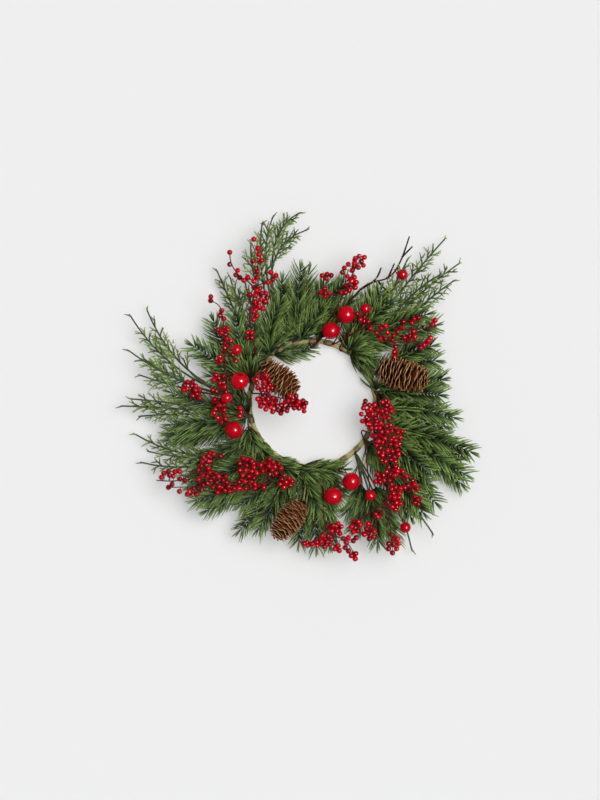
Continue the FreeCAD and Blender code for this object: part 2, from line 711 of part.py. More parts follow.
def gathered(places, height, runs):
    """Set each berry beside the stems and the berries before it."""
    radius = size["small_berry_diameter"] / 2
    beside_stem = radius + size["stem_diameter"] / 2 + size["berry_gap"]
    beside_berry = size["small_berry_diameter"] + size["berry_gap"]
    middles = []
    for place in places:
        point = spot(place, height)
        taken = taken_span(point, nearest(point, runs)[1], beside_stem)
        for other in middles:
            taken += taken_span(point, other, beside_berry)
        point.z = free_height(height, taken)
        middles.append(point)
    return middles


def holds(middles, runs):
    """Return what holds each berry, and the stalks that some of them need."""
    near_stem = size["small_berry_diameter"] / 2 + size["stem_diameter"] / 2 + 3 * size["berry_gap"]
    near_berry = size["small_berry_diameter"] + 3 * size["berry_gap"]
    feet = [nearest(middle, runs)[1] for middle in middles]
    waiting = sorted(range(len(middles)), key=lambda one: (feet[one] - middles[one]).Length)
    held = {}
    stalks = []
    while waiting:
        found = None
        for one in waiting:
            beside = [other for other in held if (middles[other] - middles[one]).Length < near_berry]
            if (feet[one] - middles[one]).Length < near_stem:
                found = (one, feet[one])
            elif beside:
                found = (one, middles[beside[0]])
            if found:
                break
        if not found:
            found = (waiting[0], feet[waiting[0]])
            stalks.append((feet[waiting[0]], middles[waiting[0]]))
        held[found[0]] = found[1]
        waiting.remove(found[0])
    return held, stalks


def stalk(foot, middle):
    """A short straight stalk from a stem to a small berry's skin."""
    reach = middle - foot
    stop = middle - reach.normalize() * (size["small_berry_diameter"] / 2 * BERRY_CORNER_SHARE)
    return rod([foot, stop], size["stem_diameter"])


def small_berry(middle, hold):
    """A small berry with one corner turned to what holds it."""
    radius = size["small_berry_diameter"] / 2 * BERRY_CORNER_SHARE
    berry = ball(Vector(0, 0, 0), radius, BERRY_SIDES, BERRY_LEVELS)
    berry.Placement = Placement(middle, Rotation(Vector(0, 0, 1), hold - middle))
    return berry


def berry_spray(number, tape, slot, height_share, stems, places):
    """A spray: wire stems in one piece, and its small round berries."""
    height = level(height_share)
    lines = spray_runs(tape, slot, height, stems)
    runs = [pair for line in lines for pair in zip(line[:-1], line[1:])]
    middles = gathered(places, height, runs)
    held, stalk_ends = holds(middles, runs)
    rods = [rod(line, size["stem_diameter"]) for line in lines]
    rods += [stalk(foot, middle) for foot, middle in stalk_ends]
    whole = rods[0].multiFuse(rods[1:])
    berries = [small_berry(middles[one], held[one]) for one in sorted(held)]
    return [
        feature("berry_stem_%d" % number, whole),
        feature("berry_cluster_%d" % number, Part.makeCompound(berries)),
    ]


def single_berries(label, places, diameter, sides, levels):
    """Larger berries in one node, and the wires that hold them up."""
    radius = diameter / 2
    berries = []
    wires = []
    for place, height_share, tape, slot in places:
        middle = spot(place, level(height_share))
        start, end = tang_run(tape, slot, spot(place))
        way = (middle - end).normalize()
        stop = middle - way * (radius - size["berry_gap"] * 2)
        wires.append(rod([start, end, stop], size["stem_diameter"]))
        berries.append(ball(middle, radius * BERRY_CORNER_SHARE ** 0.5, sides, levels))
        berries[-1] = berries[-1].cut(wires[-1])
    return feature(label, Part.makeCompound(berries)), wires


def cone_radius(share, diameter):
    """Return a pinecone's outer radius at a share of its length."""
    for (low, thin), (high, thick) in zip(PINECONE_SHAPE_SHARES, PINECONE_SHAPE_SHARES[1:]):
        if share <= high:
            inside = (share - low) / (high - low)
            return diameter / 2 * (thin + (thick - thin) * inside)
    return diameter / 2 * PINECONE_SHAPE_SHARES[-1][1]


def cone_core(cone_length, diameter):
    """The woody middle of a pinecone, which carries its scales."""
    rings = []
    for number, (share, out) in enumerate(PINECONE_SHAPE_SHARES[:-1]):
        radius = diameter / 2 * out * PINECONE_CORE_SHARE
        rings.append(corner_ring(radius, cone_length * share, PINECONE_SIDES, number % 2))
    stalk = Vector(0, 0, -size["pinecone_wire_diameter"])
    return ringed_solid(rings, stalk, Vector(0, 0, cone_length * PINECONE_SHAPE_SHARES[-1][0]))


def cone_scale(share, angle, cone_length, diameter):
    """One scale: a thin kite that leans out from the core to the tip."""
    outer = cone_radius(share, diameter)
    lean_in = size["scale_thickness"] * SCALE_LEAN_SHARE / math.hypot(1, SCALE_LEAN_SHARE)
    inner = outer * PINECONE_CORE_SHARE + size["seat_gap"] + lean_in
    outward = Vector(math.cos(angle), math.sin(angle), 0)
    across = Vector(-math.sin(angle), math.cos(angle), 0)
    lean = Vector(0, 0, SCALE_LEAN_SHARE)
    foot = outward * inner + Vector(0, 0, cone_length * share * (1 - SCALE_LEAN_SHARE / 4))
    reach = (outward + lean) * (outer - inner)
    half = size["scale_width"] / 2 * outer / (diameter / 2)
    thick = (outward * -SCALE_LEAN_SHARE + Vector(0, 0, 1)).normalize() * size["scale_thickness"]
    low = (foot, foot + reach * (2 / 3) + across * half, foot + reach, foot + reach * (2 / 3) - across * half)
    points = list(low) + [corner + thick for corner in low]
    loops = [(0, 1, 2, 3), (7, 6, 5, 4)]
    loops += [(side, side + 4, (side + 1) % 4 + 4, (side + 1) % 4) for side in range(4)]
    return polyhedron(points, loops)


def pinecone(number, stalk, tip, stalk_share, tip_share, length_share, diameter_share, tape, slot):
    """A pinecone: its core, its spiral of scales and its wire."""
    cone_length = size["pinecone_length"] * length_share
    diameter = size["pinecone_diameter"] * diameter_share
    foot = spot(stalk, level(stalk_share))
    way = spot(tip, level(tip_share)) - foot
    place = Placement(foot, Rotation(Vector(0, 0, 1), way))
    count = round(size["scale_count"])
    scales = []
    for turn in range(count):
        share = (turn + 1 / 2) / count
        scales.append(cone_scale(share, math.radians(turn * GOLDEN_ANGLE), cone_length, diameter))
    core = feature("pinecone_core_%d" % number, cone_core(cone_length, diameter))
    spiral = feature("pinecone_scales_%d" % number, Part.makeCompound(scales))
    core.Placement = place
    spiral.Placement = place
    start, end = tang_run(tape, slot, foot)
    stop = foot - way.normalize() * (size["pinecone_wire_diameter"] + size["seat_gap"])
    wire = rod([start, end, stop], size["pinecone_wire_diameter"] * TANG_FIT_SHARE)
    return [core, spiral], wire


def bare_twig():
    """The dark bare twig, with its side twigs."""
    height = level(TWIG_HEIGHT_SHARE)
    lines = spray_runs(TWIG_TAPE, TWIG_SLOT, height, TWIG_STEMS)
    rods = [rod(line, size["twig_diameter"] * TANG_FIT_SHARE) for line in lines]
    return feature("bare_twig", rods[0].multiFuse(rods[1:]))


def build():
    """Build every sub-part and return them."""
    parts = [ring_wire(), ring_strand("ring_strand_1", 0.0), ring_strand("ring_strand_2", math.pi)]
    parts.append(binding_tape())
    parts += [branch("fir_branch_%02d" % row[0], *row[1:], FIR) for row in FIR_BRANCHES]
    parts += [branch("cedar_branch_%d" % row[0], *row[1:], CEDAR) for row in CEDAR_BRANCHES]
    for row in BERRY_SPRAYS:
        parts += berry_spray(*row)
    large, large_wires = single_berries("large_berries", LARGE_BERRIES, size["large_berry_diameter"], 7, 3)
    medium, medium_wires = single_berries("medium_berries", MEDIUM_BERRIES, size["medium_berry_diameter"], 6, 3)
    parts += [large, medium, feature("berry_wires", Part.makeCompound(large_wires + medium_wires))]
    cone_wires = []
    for row in PINECONES:
        pieces, wire = pinecone(*row)
        parts += pieces
        cone_wires.append(wire)
    parts.append(feature("pinecone_wires", Part.makeCompound(cone_wires)))
    parts.append(bare_twig())
    return parts


def check(parts):
    """Stop if any object failed, or a sub-part is empty or not sound."""
    doc.recompute()
    for one in doc.Objects:
        if "Invalid" in one.State or "Error" in one.State:
            raise RuntimeError("%s failed: %s" % (one.Label, one.State))
    unsound = []
    for part in parts:
        if part.Shape.isNull() or not part.Shape.isValid() or not part.Shape.Solids:
            unsound.append(part.Label)
    if unsound:
        raise RuntimeError("no sound shape: %s" % ", ".join(unsound))


def write(parts):
    """Write each sub-part to its own file."""
    os.makedirs("parts", exist_ok=True)
    for part in parts:
        part.Shape.exportStep(os.path.join("parts", part.Label + ".step"))


parts = build()
check(parts)
write(parts)
print("%d sub-parts, %d solids" % (len(parts), sum(len(part.Shape.Solids) for part in parts)))
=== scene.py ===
"""A candle ring of fir, cedar, red berries and pinecones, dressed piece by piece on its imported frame."""

import math
import random

import bpy
from bpy.props import FloatProperty, FloatVectorProperty, IntProperty, PointerProperty
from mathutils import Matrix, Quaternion, Vector


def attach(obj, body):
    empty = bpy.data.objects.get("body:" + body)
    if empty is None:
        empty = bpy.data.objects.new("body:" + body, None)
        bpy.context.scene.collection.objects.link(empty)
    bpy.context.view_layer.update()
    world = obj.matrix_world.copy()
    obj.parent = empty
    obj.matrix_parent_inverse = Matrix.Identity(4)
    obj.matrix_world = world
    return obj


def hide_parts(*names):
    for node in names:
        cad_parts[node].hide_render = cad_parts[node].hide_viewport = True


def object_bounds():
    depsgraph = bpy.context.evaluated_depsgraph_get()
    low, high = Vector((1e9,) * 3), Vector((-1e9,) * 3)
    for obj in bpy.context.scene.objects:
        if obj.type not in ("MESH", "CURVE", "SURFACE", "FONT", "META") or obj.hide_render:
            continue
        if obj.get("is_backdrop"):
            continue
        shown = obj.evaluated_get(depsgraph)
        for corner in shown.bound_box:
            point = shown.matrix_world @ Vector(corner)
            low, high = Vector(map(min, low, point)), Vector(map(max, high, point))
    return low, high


bl_info = {
    "name": "Candle ring",
    "version": (1, 0, 0),
    "blender": (4, 5, 0),
    "location": "3D View > Sidebar > Candle ring",
    "description": "Dresses a candle ring with fir, cedar, berries and pinecones",
    "category": "Object",
}

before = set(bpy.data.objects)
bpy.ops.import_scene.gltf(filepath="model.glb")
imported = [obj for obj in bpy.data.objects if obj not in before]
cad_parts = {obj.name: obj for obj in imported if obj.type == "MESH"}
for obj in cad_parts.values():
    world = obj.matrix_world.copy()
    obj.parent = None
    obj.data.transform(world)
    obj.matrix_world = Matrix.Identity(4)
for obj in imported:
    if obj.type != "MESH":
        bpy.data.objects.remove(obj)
CAD_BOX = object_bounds()
UP = Vector((0, 0, 1))
GOLDEN_ANGLE = math.pi * (3 - math.sqrt(5))
# The lowest that leaves and wires come to the floor, and how near two points count as one
FLOOR_CLEARANCE = 0.0005
TOUCHING = 1e-5

# Where the random draws of each kind of piece start
SEEDS = {
    "fir": 100, "cedar": 200, "sprays": 400, "pinecones": 700,
    "pinecone wires": 750, "strands": 800, "tapes": 900, "twig": 950,
}

# Places read from the picture, in its pixels, and the ring as it shows there
PICTURE_CENTRE_PIXELS = (312.5, 404.0)
PICTURE_MIDDLE_PIXELS = (300.0, 400.0)
PICTURE_SIZE_PIXELS = (600, 800)
PICTURE_RING_RADIUS_PIXELS = 63.0

# How fast twigs of each layer rise away from the ring; those of the last one dip
LAYER_RISE_SHARES = (0.01, 0.05, 0.09, 0.13, 0.17, 0.21, 0.25, 0.29, -0.16)

# Fir branches: name number, tape number, slot across the tape, then its twigs.
# A twig has the corner of its bend and its tip in pixels, its layer and its bare share.
# A fir twig is bare as far as FIR_BARE_FACTOR times that share, so that 3.0 leaves wood and tuft alone.
FIR_BRANCHES = (
    (1, 7, 1, (
        ((293, 325), (302, 258), 4, 0.12), ((301, 318), (310, 263), 2, 0.15),
        ((288, 330), (288, 280), 0, 0.1), ((306, 330), (322, 306), 6, 0.1),
        ((276, 326), (283, 272), 3, 0.1),
    )),
    (2, 9, 1, (
        ((262, 332), (285, 297), 7, 0.12), ((290, 353), (313, 347), 8, 0.2),
        ((270, 340), (300, 320), 2, 0.05), ((258, 354), (266, 342), 0, 0.0),
    )),
    (3, 6, 1, (
        ((323, 300), (351, 278), 4, 0.15), ((316, 330), (338, 313), 2, 0.15),
        ((308, 309), (329, 280), 0, 0.2), ((332, 318), (358, 294), 5, 0.1),
    )),
    (4, 4, -1, (
        ((364, 350), (374, 361), 4, 0.2), ((352, 328), (378, 286), 2, 0.1),
        ((364, 358), (374, 372), 1, 0.1),
    )),
    (5, 4, 1, (
        ((398, 333), (443, 324), 2, 0.15), ((392, 322), (434, 313), 4, 0.15),
        ((362, 323), (396, 298), 6, 0.1), ((374, 314), (382, 286), 5, 0.1),
        ((372, 340), (404, 318), 0, 0.1),
    )),
    (6, 2, 1, (((410, 355), (441, 362), 0, 0.15), ((408, 348), (436, 346), 3, 0.9))),
    (7, 1, 1, (
        ((420, 383), (446, 379), 2, 0.15), ((420, 391), (443, 396), 5, 0.2),
        ((384, 396), (392, 421), 0, 0.1), ((374, 384), (384, 388), 3, 0.0),
    )),
    (8, 0, 1, (((422, 406), (460, 420), 4, 0.12), ((405, 412), (452, 429), 1, 0.1))),
    (9, 23, 1, (((423, 431), (480, 456), 6, 0.12), ((422, 436), (469, 461), 2, 0.15))),
    (10, 23, -1, (
        ((422, 446), (475, 481), 4, 0.15), ((434, 454), (467, 490), 0, 0.2),
        ((400, 448), (433, 477), 7, 0.15),
    )),
    (11, 22, 1, (
        ((398, 468), (435, 487), 3, 0.1), ((401, 470), (442, 509), 2, 0.15),
        ((398, 477), (428, 520), 5, 0.15), ((392, 455), (424, 494), 0, 0.12),
        ((394, 484), (414, 524), 1, 0.1), ((400, 482), (420, 515), 2, 0.1),
    )),
    (12, 21, 1, (
        ((376, 500), (378, 551), 4, 1.2), ((386, 496), (397, 549), 2, 1.2),
        ((370, 501), (342, 514), 0, 1.2), ((372, 505), (352, 533), 1, 1.2),
        ((382, 505), (388, 537), 1, 1.2), ((366, 470), (336, 494), 5, 3.0),
        ((366, 464), (344, 480), 4, 3.0), ((370, 466), (352, 498), 3, 3.0),
    )),
    (13, 19, 1, (
        ((328, 505), (331, 552), 2, 0.12), ((326, 490), (325, 516), 4, 0.15),
        ((330, 497), (345, 491), 3, 0.1),
    )),
    (14, 18, 1, (
        ((313, 505), (317, 555), 1, 0.12), ((303, 505), (298, 550), 0, 0.15),
        ((322, 473), (340, 469), 7, 0.0),
    )),
    (15, 17, 1, (
        ((272, 497), (234, 536), 2, 0.12), ((278, 500), (254, 535), 4, 0.15),
        ((262, 490), (236, 508), 3, 0.1), ((288, 485), (284, 512), 0, 0.1),
        ((294, 470), (312, 473), 7, 0.0),
    )),
    (16, 16, 1, (
        ((246, 485), (181, 489), 0, 0.12), ((236, 470), (190, 486), 2, 0.1),
        ((243, 495), (201, 513), 3, 0.15), ((246, 462), (208, 480), 5, 0.1),
        ((240, 492), (186, 502), 4, 0.1), ((272, 456), (288, 466), 6, 0.0),
    )),
    (17, 14, 1, (
        ((232, 455), (182, 464), 3, 0.15), ((258, 463), (296, 472), 5, 0.15),
        ((228, 468), (182, 482), 0, 0.12),
    )),
    (18, 13, 1, (
        ((220, 422), (160, 425), 4, 0.12), ((212, 408), (162, 389), 3, 0.12),
        ((216, 438), (159, 441), 0, 0.12), ((216, 430), (160, 434), 2, 0.1),
        ((246, 430), (256, 447), 6, 1.0), ((240, 400), (226, 386), 5, 0.05),
    )),
    (19, 11, 1, (
        ((224, 365), (187, 342), 6, 0.1), ((230, 378), (208, 376), 3, 0.1),
        ((226, 358), (211, 313), 2, 0.15), ((240, 352), (234, 308), 4, 0.1),
        ((246, 346), (256, 308), 2, 0.1),
    )),
    (20, 17, -1, (((316, 472), (348, 469), 5, 0.15), ((306, 488), (318, 510), 7, 0.12))),
)

# Cedar branches, in the same form
CEDAR_BRANCHES = (
    (1, 8, 1, (
        ((254, 236), (298, 214), 0, 0.55), ((250, 250), (305, 231), 1, 0.58),
        ((255, 262), (272, 220), 2, 0.5), ((255, 290), (262, 227), 4, 0.5),
        ((250, 290), (251, 246), 6, 0.55), ((252, 318), (246, 286), 5, 0.4),
    )),
    (2, 10, 0, (
        ((236, 315), (218, 273), 0, 0.4), ((242, 315), (231, 280), 2, 0.6),
        ((244, 320), (239, 293), 4, 0.65),
    )),
    (3, 12, 1, (
        ((178, 384), (148, 312), 0, 0.58), ((174, 384), (132, 318), 1, 0.55),
        ((184, 391), (131, 352), 2, 0.5), ((192, 386), (185, 362), 3, 0.85),
        ((190, 393), (143, 376), 3, 0.65), ((184, 389), (146, 360), 2, 0.55),
    )),
    (4, 13, -1, (
        ((185, 408), (124, 406), 1, 0.45), ((190, 412), (143, 416), 0, 0.5),
        ((192, 404), (133, 399), 3, 0.5),
    )),
    (5, 15, 1, (
        ((196, 470), (137, 435), 0, 0.4), ((200, 476), (145, 463), 1, 0.4),
        ((204, 464), (152, 452), 3, 0.45),
    )),
    (6, 3, 1, (
        ((400, 288), (443, 241), 0, 0.3), ((411, 298), (457, 265), 2, 0.3),
        ((390, 296), (406, 262), 4, 0.45),
    )),
    (7, 22, -1, (((404, 512), (411, 547), 0, 1.0), ((414, 506), (431, 531), 1, 1.0))),
    (8, 3, -1, (
        ((416, 307), (452, 282), 1, 0.36), ((402, 318), (424, 305), 3, 0.42),
        ((400, 296), (438, 276), 5, 0.45),
    )),
)

# Berry sprays: name number, tape number, slot, height share, stems in pixels
BERRY_SPRAYS = (
    (1, 10, 1, 1.25, (
        ((252, 345), (250, 320), (255, 290), (258, 262), (250, 240)),
        ((256, 289), (247, 281), (240, 277), (232, 265), (230, 254)),
        ((256, 288), (273, 278)),
    )),
    (2, 12, 0, 1.1, (
        ((236, 396), (228, 375), (225, 350), (222, 311), (211, 301)),
        ((229, 377), (212, 393), (194, 390)),
        ((234, 394), (220, 404), (222, 420)),
    )),
    (3, 11, -1, 1.78, (
        ((252, 390), (262, 394), (285, 399), (303, 404)),
        ((260, 393), (262, 378)),
    )),
    (4, 17, 0, 1.15, (
        ((290, 484), (262, 485), (215, 486), (168, 487)),
        ((238, 485), (205, 470), (180, 480), (157, 480)),
        ((276, 484), (272, 466), (246, 461)),
    )),
    (5, 6, 0, 1.3, (
        ((345, 318), (343, 295), (352, 275), (360, 260)),
        ((343, 295), (324, 293), (324, 276)),
    )),
    (6, 5, 0, 1.15, (
        ((350, 318), (372, 325), (400, 330), (436, 327)),
        ((378, 326), (388, 342), (414, 341)),
    )),
    (7, 1, 0, 1.35, (
        ((376, 392), (381, 405), (386, 440), (388, 480), (386, 505)),
        ((383, 418), (371, 420)),
        ((387, 470), (408, 482), (414, 499)),
        ((386, 500), (392, 545)),
        ((386, 502), (368, 535)),
        ((386, 500), (355, 522)),
    )),
    (8, 19, 0, 1.15, (
        ((308, 508), (325, 525), (345, 540), (354, 553)),
        ((328, 528), (308, 543), (296, 538)),
    )),
)

# How likely each try is to add a berry between those of each spray
EXTRA_BERRY_SHARES = (0.03, 0.1, 0.45, 0.2, 0.1, 0.03, 0.4, 0.2)
# More berries of some sprays: middles in pixels, and the height share
ADDED_BERRIES = {
    1: (
        (
            (257, 291), (262, 294), (256, 296), (261, 300), (255, 302), (265, 302), (259, 306), (256, 310),
            (263, 309),
        ),
        1.3,
    ),
    3: (((268, 399), (272, 403), (277, 406), (283, 409), (265, 403)), 1.7),
    7: (
        (
            (365, 401), (369, 405), (363, 408), (367, 411), (361, 414), (366, 417), (362, 421), (367, 424),
            (371, 415),
        ),
        1.3,
    ),
    8: (((355, 558), (351, 555)), 1.0),
}
# Berries between others, in diameters: how far off one still counts as near, how far from its neighbour
# a new one stands, and how close it may come to any; and how often a place for it is tried
NEAR_BERRY = 2.2
NEW_BERRY_STEP = 0.9
CLOSEST_BERRIES = 0.72
BERRY_TRIES = 12
# How far berries and the feet of their stalks stray, how far a stalk bows, and the longest stalk
BERRY_STRAY = 0.002
STALK_BOW = 0.0006
LONGEST_STALK = 0.012
# Faces round a berry and along it, and how deep its dimple is as a share of its radius
SMALL_BERRY_FACES = (14, 9)
SINGLE_BERRY_FACES = (36, 24)
SMALL_DIMPLE_SHARE = 0.05
MEDIUM_DIMPLE_SHARE = 0.08
LARGE_DIMPLE_SHARE = 0.13

# Large and medium berries: middle in pixels, height share, tape, slot, and where the calyx points
LARGE_BERRIES = (
    ((331, 331), 0.95, 5, -1, (0.3, -0.6, 0.1)), ((346, 315), 1.25, 5, 1, (0.9, 0.2, 0.1)),
    ((240, 381), 1.75, 12, 1, (0.1, 0.75, 0.6)), ((234, 430), 1.2, 14, 0, (-0.7, -0.7, 0.2)),
    ((351, 481), 1.1, 20, 0, (-0.75, 0.3, 0.55)), ((333, 496), 1.1, 20, 1, (-0.2, -0.8, 0.2)),
)
MEDIUM_BERRIES = (
    ((365, 309), 1.35, 4, 0, (0.5, 0.5, 0.2)), ((402, 275), 0.95, 3, 0, (0.4, 0.8, 0.3)),
    ((237, 350), 1.7, 11, 0, (0.7, 0.5, 0.2)), ((227, 398), 1.75, 13, 0, (-0.5, 0.6, 0.2)),
    ((370, 495), 1.35, 22, 0, (0.6, -0.5, 0.3)), ((405, 527), 1.0, 22, -1, (0.5, -0.7, 0.3)),
)

# Pinecones: number, stalk end and tip in pixels, height shares of both ends, shares of the length and
# the diameter, tape, slot, and degrees by which scales at both ends lean from the axis
PINECONES = (
    (1, (378, 369), (428, 381), (0.95, 1.2), (1.0, 1.0), 2, 0, (80, 52)),
    (2, (262, 366), (294, 391), (1.05, 1.0), (0.86, 0.93), 10, -1, (70, 44)),
    (3, (303, 502), (276, 536), (0.9, 1.1), (0.9, 0.86), 18, 0, (52, 68)),
)
# A pinecone's outline as shares of its length and width, and where its core changes in width
PINECONE_SHAPE_SHARES = (
    (0.0, 0.5), (0.08, 0.78), (0.22, 0.95), (0.45, 1.03), (0.7, 0.95), (0.86, 0.76), (0.95, 0.52), (1.0, 0.3),
)
CONE_CORE_SHARES = (0.0, 0.05, 0.15, 0.35, 0.6, 0.8, 0.92)
CONE_CORE_WIDTH_SHARE = 0.42
# How far scales stray from their lean, in degrees, and how far they twist
SCALE_LEAN_SPREAD = 5
SCALE_TWIST_SPREAD = 0.12
# Share of the scales that stand more closed than the rest, and the share of the lean that they keep
CLOSED_SCALES_SHARE = 0.12
CLOSED_SCALE_LEAN = 0.7

# The bare dark twig: its main stem and side twigs, in pixels
TWIG_STEMS = (
    ((343, 300), (360, 290), (388, 278), (400, 262), (409, 237)),
    ((360, 291), (375, 280), (381, 268)),
    ((402, 258), (412, 247)),
    ((388, 278), (394, 264)),
    ((378, 282), (388, 293)),
)
TWIG_TAPE = 6
TWIG_SLOT = -1
TWIG_HEIGHT_SHARE = 0.85

# How far the paper strands are pressed in round the wire, the stations along one and the points round it
STRAND_PRESS_SHARE = 0.86
STRAND_STATIONS = 900
STRAND_SIDES = 18
# How many stations of a strand one crease runs through
CREASE_STATIONS = 11
# How far round the wire a strand reaches from its middle, outside and inside
STRAND_OUTER_REACH = math.radians(87)
STRAND_INNER_REACH = math.radians(80)
# How often a tape winds round the ring
TAPE_TURNS = 4

# A needle's widths along its length and its thickness, and the share of a fir twig that is wood
NEEDLE_SHAPE_SHARES = ((0.0, 0.5), (0.2, 0.95), (0.65, 0.9), (0.9, 0.5))
NEEDLE_THICKNESS_SHARE = 0.8
WOOD_SHARE = 0.9
# Rows of needles round a fir twig: degrees from level, length share, degrees out from the twig, tone,
# and the share of the twig at which the row ends
# The two rows that point below level have tone 0: shade painted under the twig
NEEDLE_ROWS = (
    (0, 1.0, 50, 0.66, 1.0), (180, 1.0, 50, 0.66, 1.0),
    (30, 0.85, 40, 0.6, 0.85), (150, 0.85, 40, 0.6, 0.85),
    (-18, 0.95, 46, 0.0, 0.7), (198, 0.95, 46, 0.0, 0.7),
    (75, 0.7, 26, 0.45, 0.45), (105, 0.7, 26, 0.45, 0.45),
)
# Fir branches whose needles stand wide apart in flat fronds, where the others are fine and close
FROND_BRANCHES = (4, 5, 6, 7, 8, 9, 10, 11, 19)
FROND_STYLE = {"spread": 1.15, "step": 1.4, "width": 1.3, "bend": 0.4, "stray": 0.3, "tone": -0.16}
FINE_STYLE = {"spread": 0.95, "step": 0.9, "width": 0.88, "bend": 0.3, "stray": 0.5, "tone": -0.18}
# Fir branches painted darker than the rest, as shade, and by how much
PAINTED_SHADE_BRANCHES = (13, 14, 15, 16, 17)
PAINTED_SHADE_TONE = -0.14
# How much lighter needles are at a twig's tip than at its foot, and how much their tones stray
TIP_LIGHT = 0.45
NEEDLE_TONE_STRAY = 0.33
# Share of needles that are missing, needles at a twig's tip, and what bare shares are multiplied by
LOST_NEEDLE_SHARE = 0.05
TUFT_NEEDLES = 5
FIR_BARE_FACTOR = 0.3
# Share of a cedar twig where its leaves end; the rest is a bare tip
CEDAR_LEAFY_SHARE = 0.9

# Tones of the wood, which each finish reads in its own way
BARK_TONES = (0.5, 0.0, 0.0)
CEDAR_WOOD_TONES = (0.5, 0.2, 0.35)
# A pinecone's core takes the heart colour all over: painted shade
CONE_CORE_TONES = (0.1, 0.3, 0.0)
# Depths of the fine grain of each finish, in metres
LEAF_GRAIN_DEPTH = 0.0001
LACQUER_DEPTH = 0.00005
WOOD_GRAIN_DEPTH = 0.0003
CREPE_DEPTH = 0.0002


def paint(red, green, blue):
    """Return a colour written from 0 to 255 as Blender's own linear colour."""
    colour = []
    for value in (red, green, blue):
        share = value / 255
        colour.append(share / 12.92 if share <= 0.04045 else ((share + 0.055) / 1.055) ** 2.4)
    return tuple(colour)


def distance(name, description, default):
    """Return a length property, in metres."""
    return FloatProperty(name=name, description=description, default=default, unit="LENGTH", min=0)


def colour(name, description, default):
    """Return a colour property."""
    return FloatVectorProperty(
        name=name, description=description, default=default, subtype="COLOR", min=0, max=1)


def amount(name, description, default):
    """Return a property that is a plain number."""
    return FloatProperty(name=name, description=description, default=default)


def angle(name, description, degrees):
    """Return an angle property, whose default is given in degrees."""
    return FloatProperty(name=name, description=description, default=math.radians(degrees), subtype="ANGLE")


def whole(name, description, default):
    """Return a property that is a whole number."""
    return IntProperty(name=name, description=description, default=default)


class HoopSettings(bpy.types.PropertyGroup):
    """Sizes and colours of the ring and its tapes."""

    ring_radius: distance("Ring radius", "From the middle of the opening to the wire", 0.053)
    wire_diameter: distance("Wire diameter", "Thickness of the steel hoop", 0.0012)
    strand_diameter: distance("Strand diameter", "Thickness of each paper strand", 0.0019)
    strand_clearance: distance("Strand clearance", "Air between a strand and the wire", 0.0001)
    strand_end_gap: distance("Strand end gap", "Air between the two ends of a strand", 0.001)
    strand_turns: whole("Strand turns", "Times a strand winds round the wire", 12)
    tape_count: whole("Tapes", "Paper tapes round the ring", 24)
    tape_width: distance("Tape width", "Length of ring that one tape covers", 0.005)
    tape_thickness: distance("Tape thickness", "Thickness of the wrapped tape", 0.0004)
    seat_gap: distance("Seat gap", "Air between a piece and what holds it", 0.00015)
    tang_side: distance("Tang side", "Side of the foot of a stem, in its tape", 0.0012)
    tang_reach: distance("Tang reach", "How far a foot stands out of its tape", 0.0015)
    spray_height: distance("Spray height", "Height that the height shares are shares of", 0.015)
    paper: colour("Paper", "Colour of the ring's twisted paper", paint(196, 188, 126))
    # The crease colour is shade painted in the creases of the paper
    paper_crease_shade: colour("Paper creases", "Colour in the creases of the paper", paint(132, 122, 70))
    tape: colour("Tape", "Colour of the binding tape", paint(150, 132, 92))
    steel: colour("Steel", "Colour of the wire", paint(110, 108, 104))


class FirSettings(bpy.types.PropertyGroup):
    """Sizes and colours of the fir branches."""

    needle_length: distance("Needle length", "Length of a needle at the foot of a twig", 0.0155)
    needle_width: distance("Needle width", "Width of a needle", 0.00118)
    needle_step: distance("Needle step", "Length of twig from needle to needle", 0.0023)
    twig_width: distance("Twig width", "Thickness of the twig at its foot", 0.0018)
    # The lower needle rows and the needle roots, where shade is painted, lean toward the darkest colour
    shade: colour("Dark needles", "Colour of the darkest needles", paint(4, 20, 2))
    light: colour("Light needles", "Colour of the lightest needles", paint(98, 132, 78))
    tip: colour("Needle tips", "Colour at the ends of the needles", paint(162, 190, 96))
    bark: colour("Bark", "Colour of the twigs", paint(76, 80, 40))


class CedarSettings(bpy.types.PropertyGroup):
    """Sizes and colours of the cedar branches."""

    leaf_length: distance("Leaf length", "Length of one finger of scale leaves", 0.0060)
    leaf_width: distance("Leaf width", "Thickness of one finger of scale leaves", 0.0017)
    leaf_step: distance("Leaf step", "Length of branchlet from finger to finger", 0.0030)
    branchlet_length: distance("Branchlet length", "Length of the longest branchlets", 0.0172)
    branchlet_step: distance("Branchlet step", "Length of twig from branchlet to branchlet", 0.0037)
    # Finger roots, where shade is painted, lean toward the darkest colour
    shade: colour("Dark leaves", "Colour of the darkest leaves", paint(48, 74, 22))
    light: colour("Light leaves", "Colour of the lightest leaves", paint(126, 157, 76))
    tip: colour("Leaf tips", "Colour at the ends of the leaves", paint(156, 170, 92))
    bark: colour("Bark", "Colour of the twigs", paint(74, 80, 44))


class BerrySettings(bpy.types.PropertyGroup):
    """Sizes and colours of the berries and their stems."""

    small_diameter: distance("Small berries", "Diameter of the small berries", 0.0046)
    medium_diameter: distance("Medium berries", "Diameter of the medium berries", 0.009)
    large_diameter: distance("Large berries", "Diameter of the large berries", 0.015)
    stem_diameter: distance("Stems", "Thickness of the berry stems", 0.0013)
    stalk_diameter: distance("Stalks", "Thickness of the stalk of a small berry", 0.0007)
    twig_diameter: distance("Bare twig", "Thickness of the bare twig", 0.0019)
    skin: colour("Skin", "Colour of the berries", paint(204, 1, 27))
    deep: colour("Deep skin", "Colour of the darker berries", paint(118, 1, 14))
    calyx: colour("Calyx", "Colour of the dried end of a berry", paint(40, 10, 8))
    stem: colour("Stem", "Colour of the berry stems", paint(84, 14, 18))
    twig: colour("Bare twig colour", "Colour of the bare twig", paint(54, 16, 18))


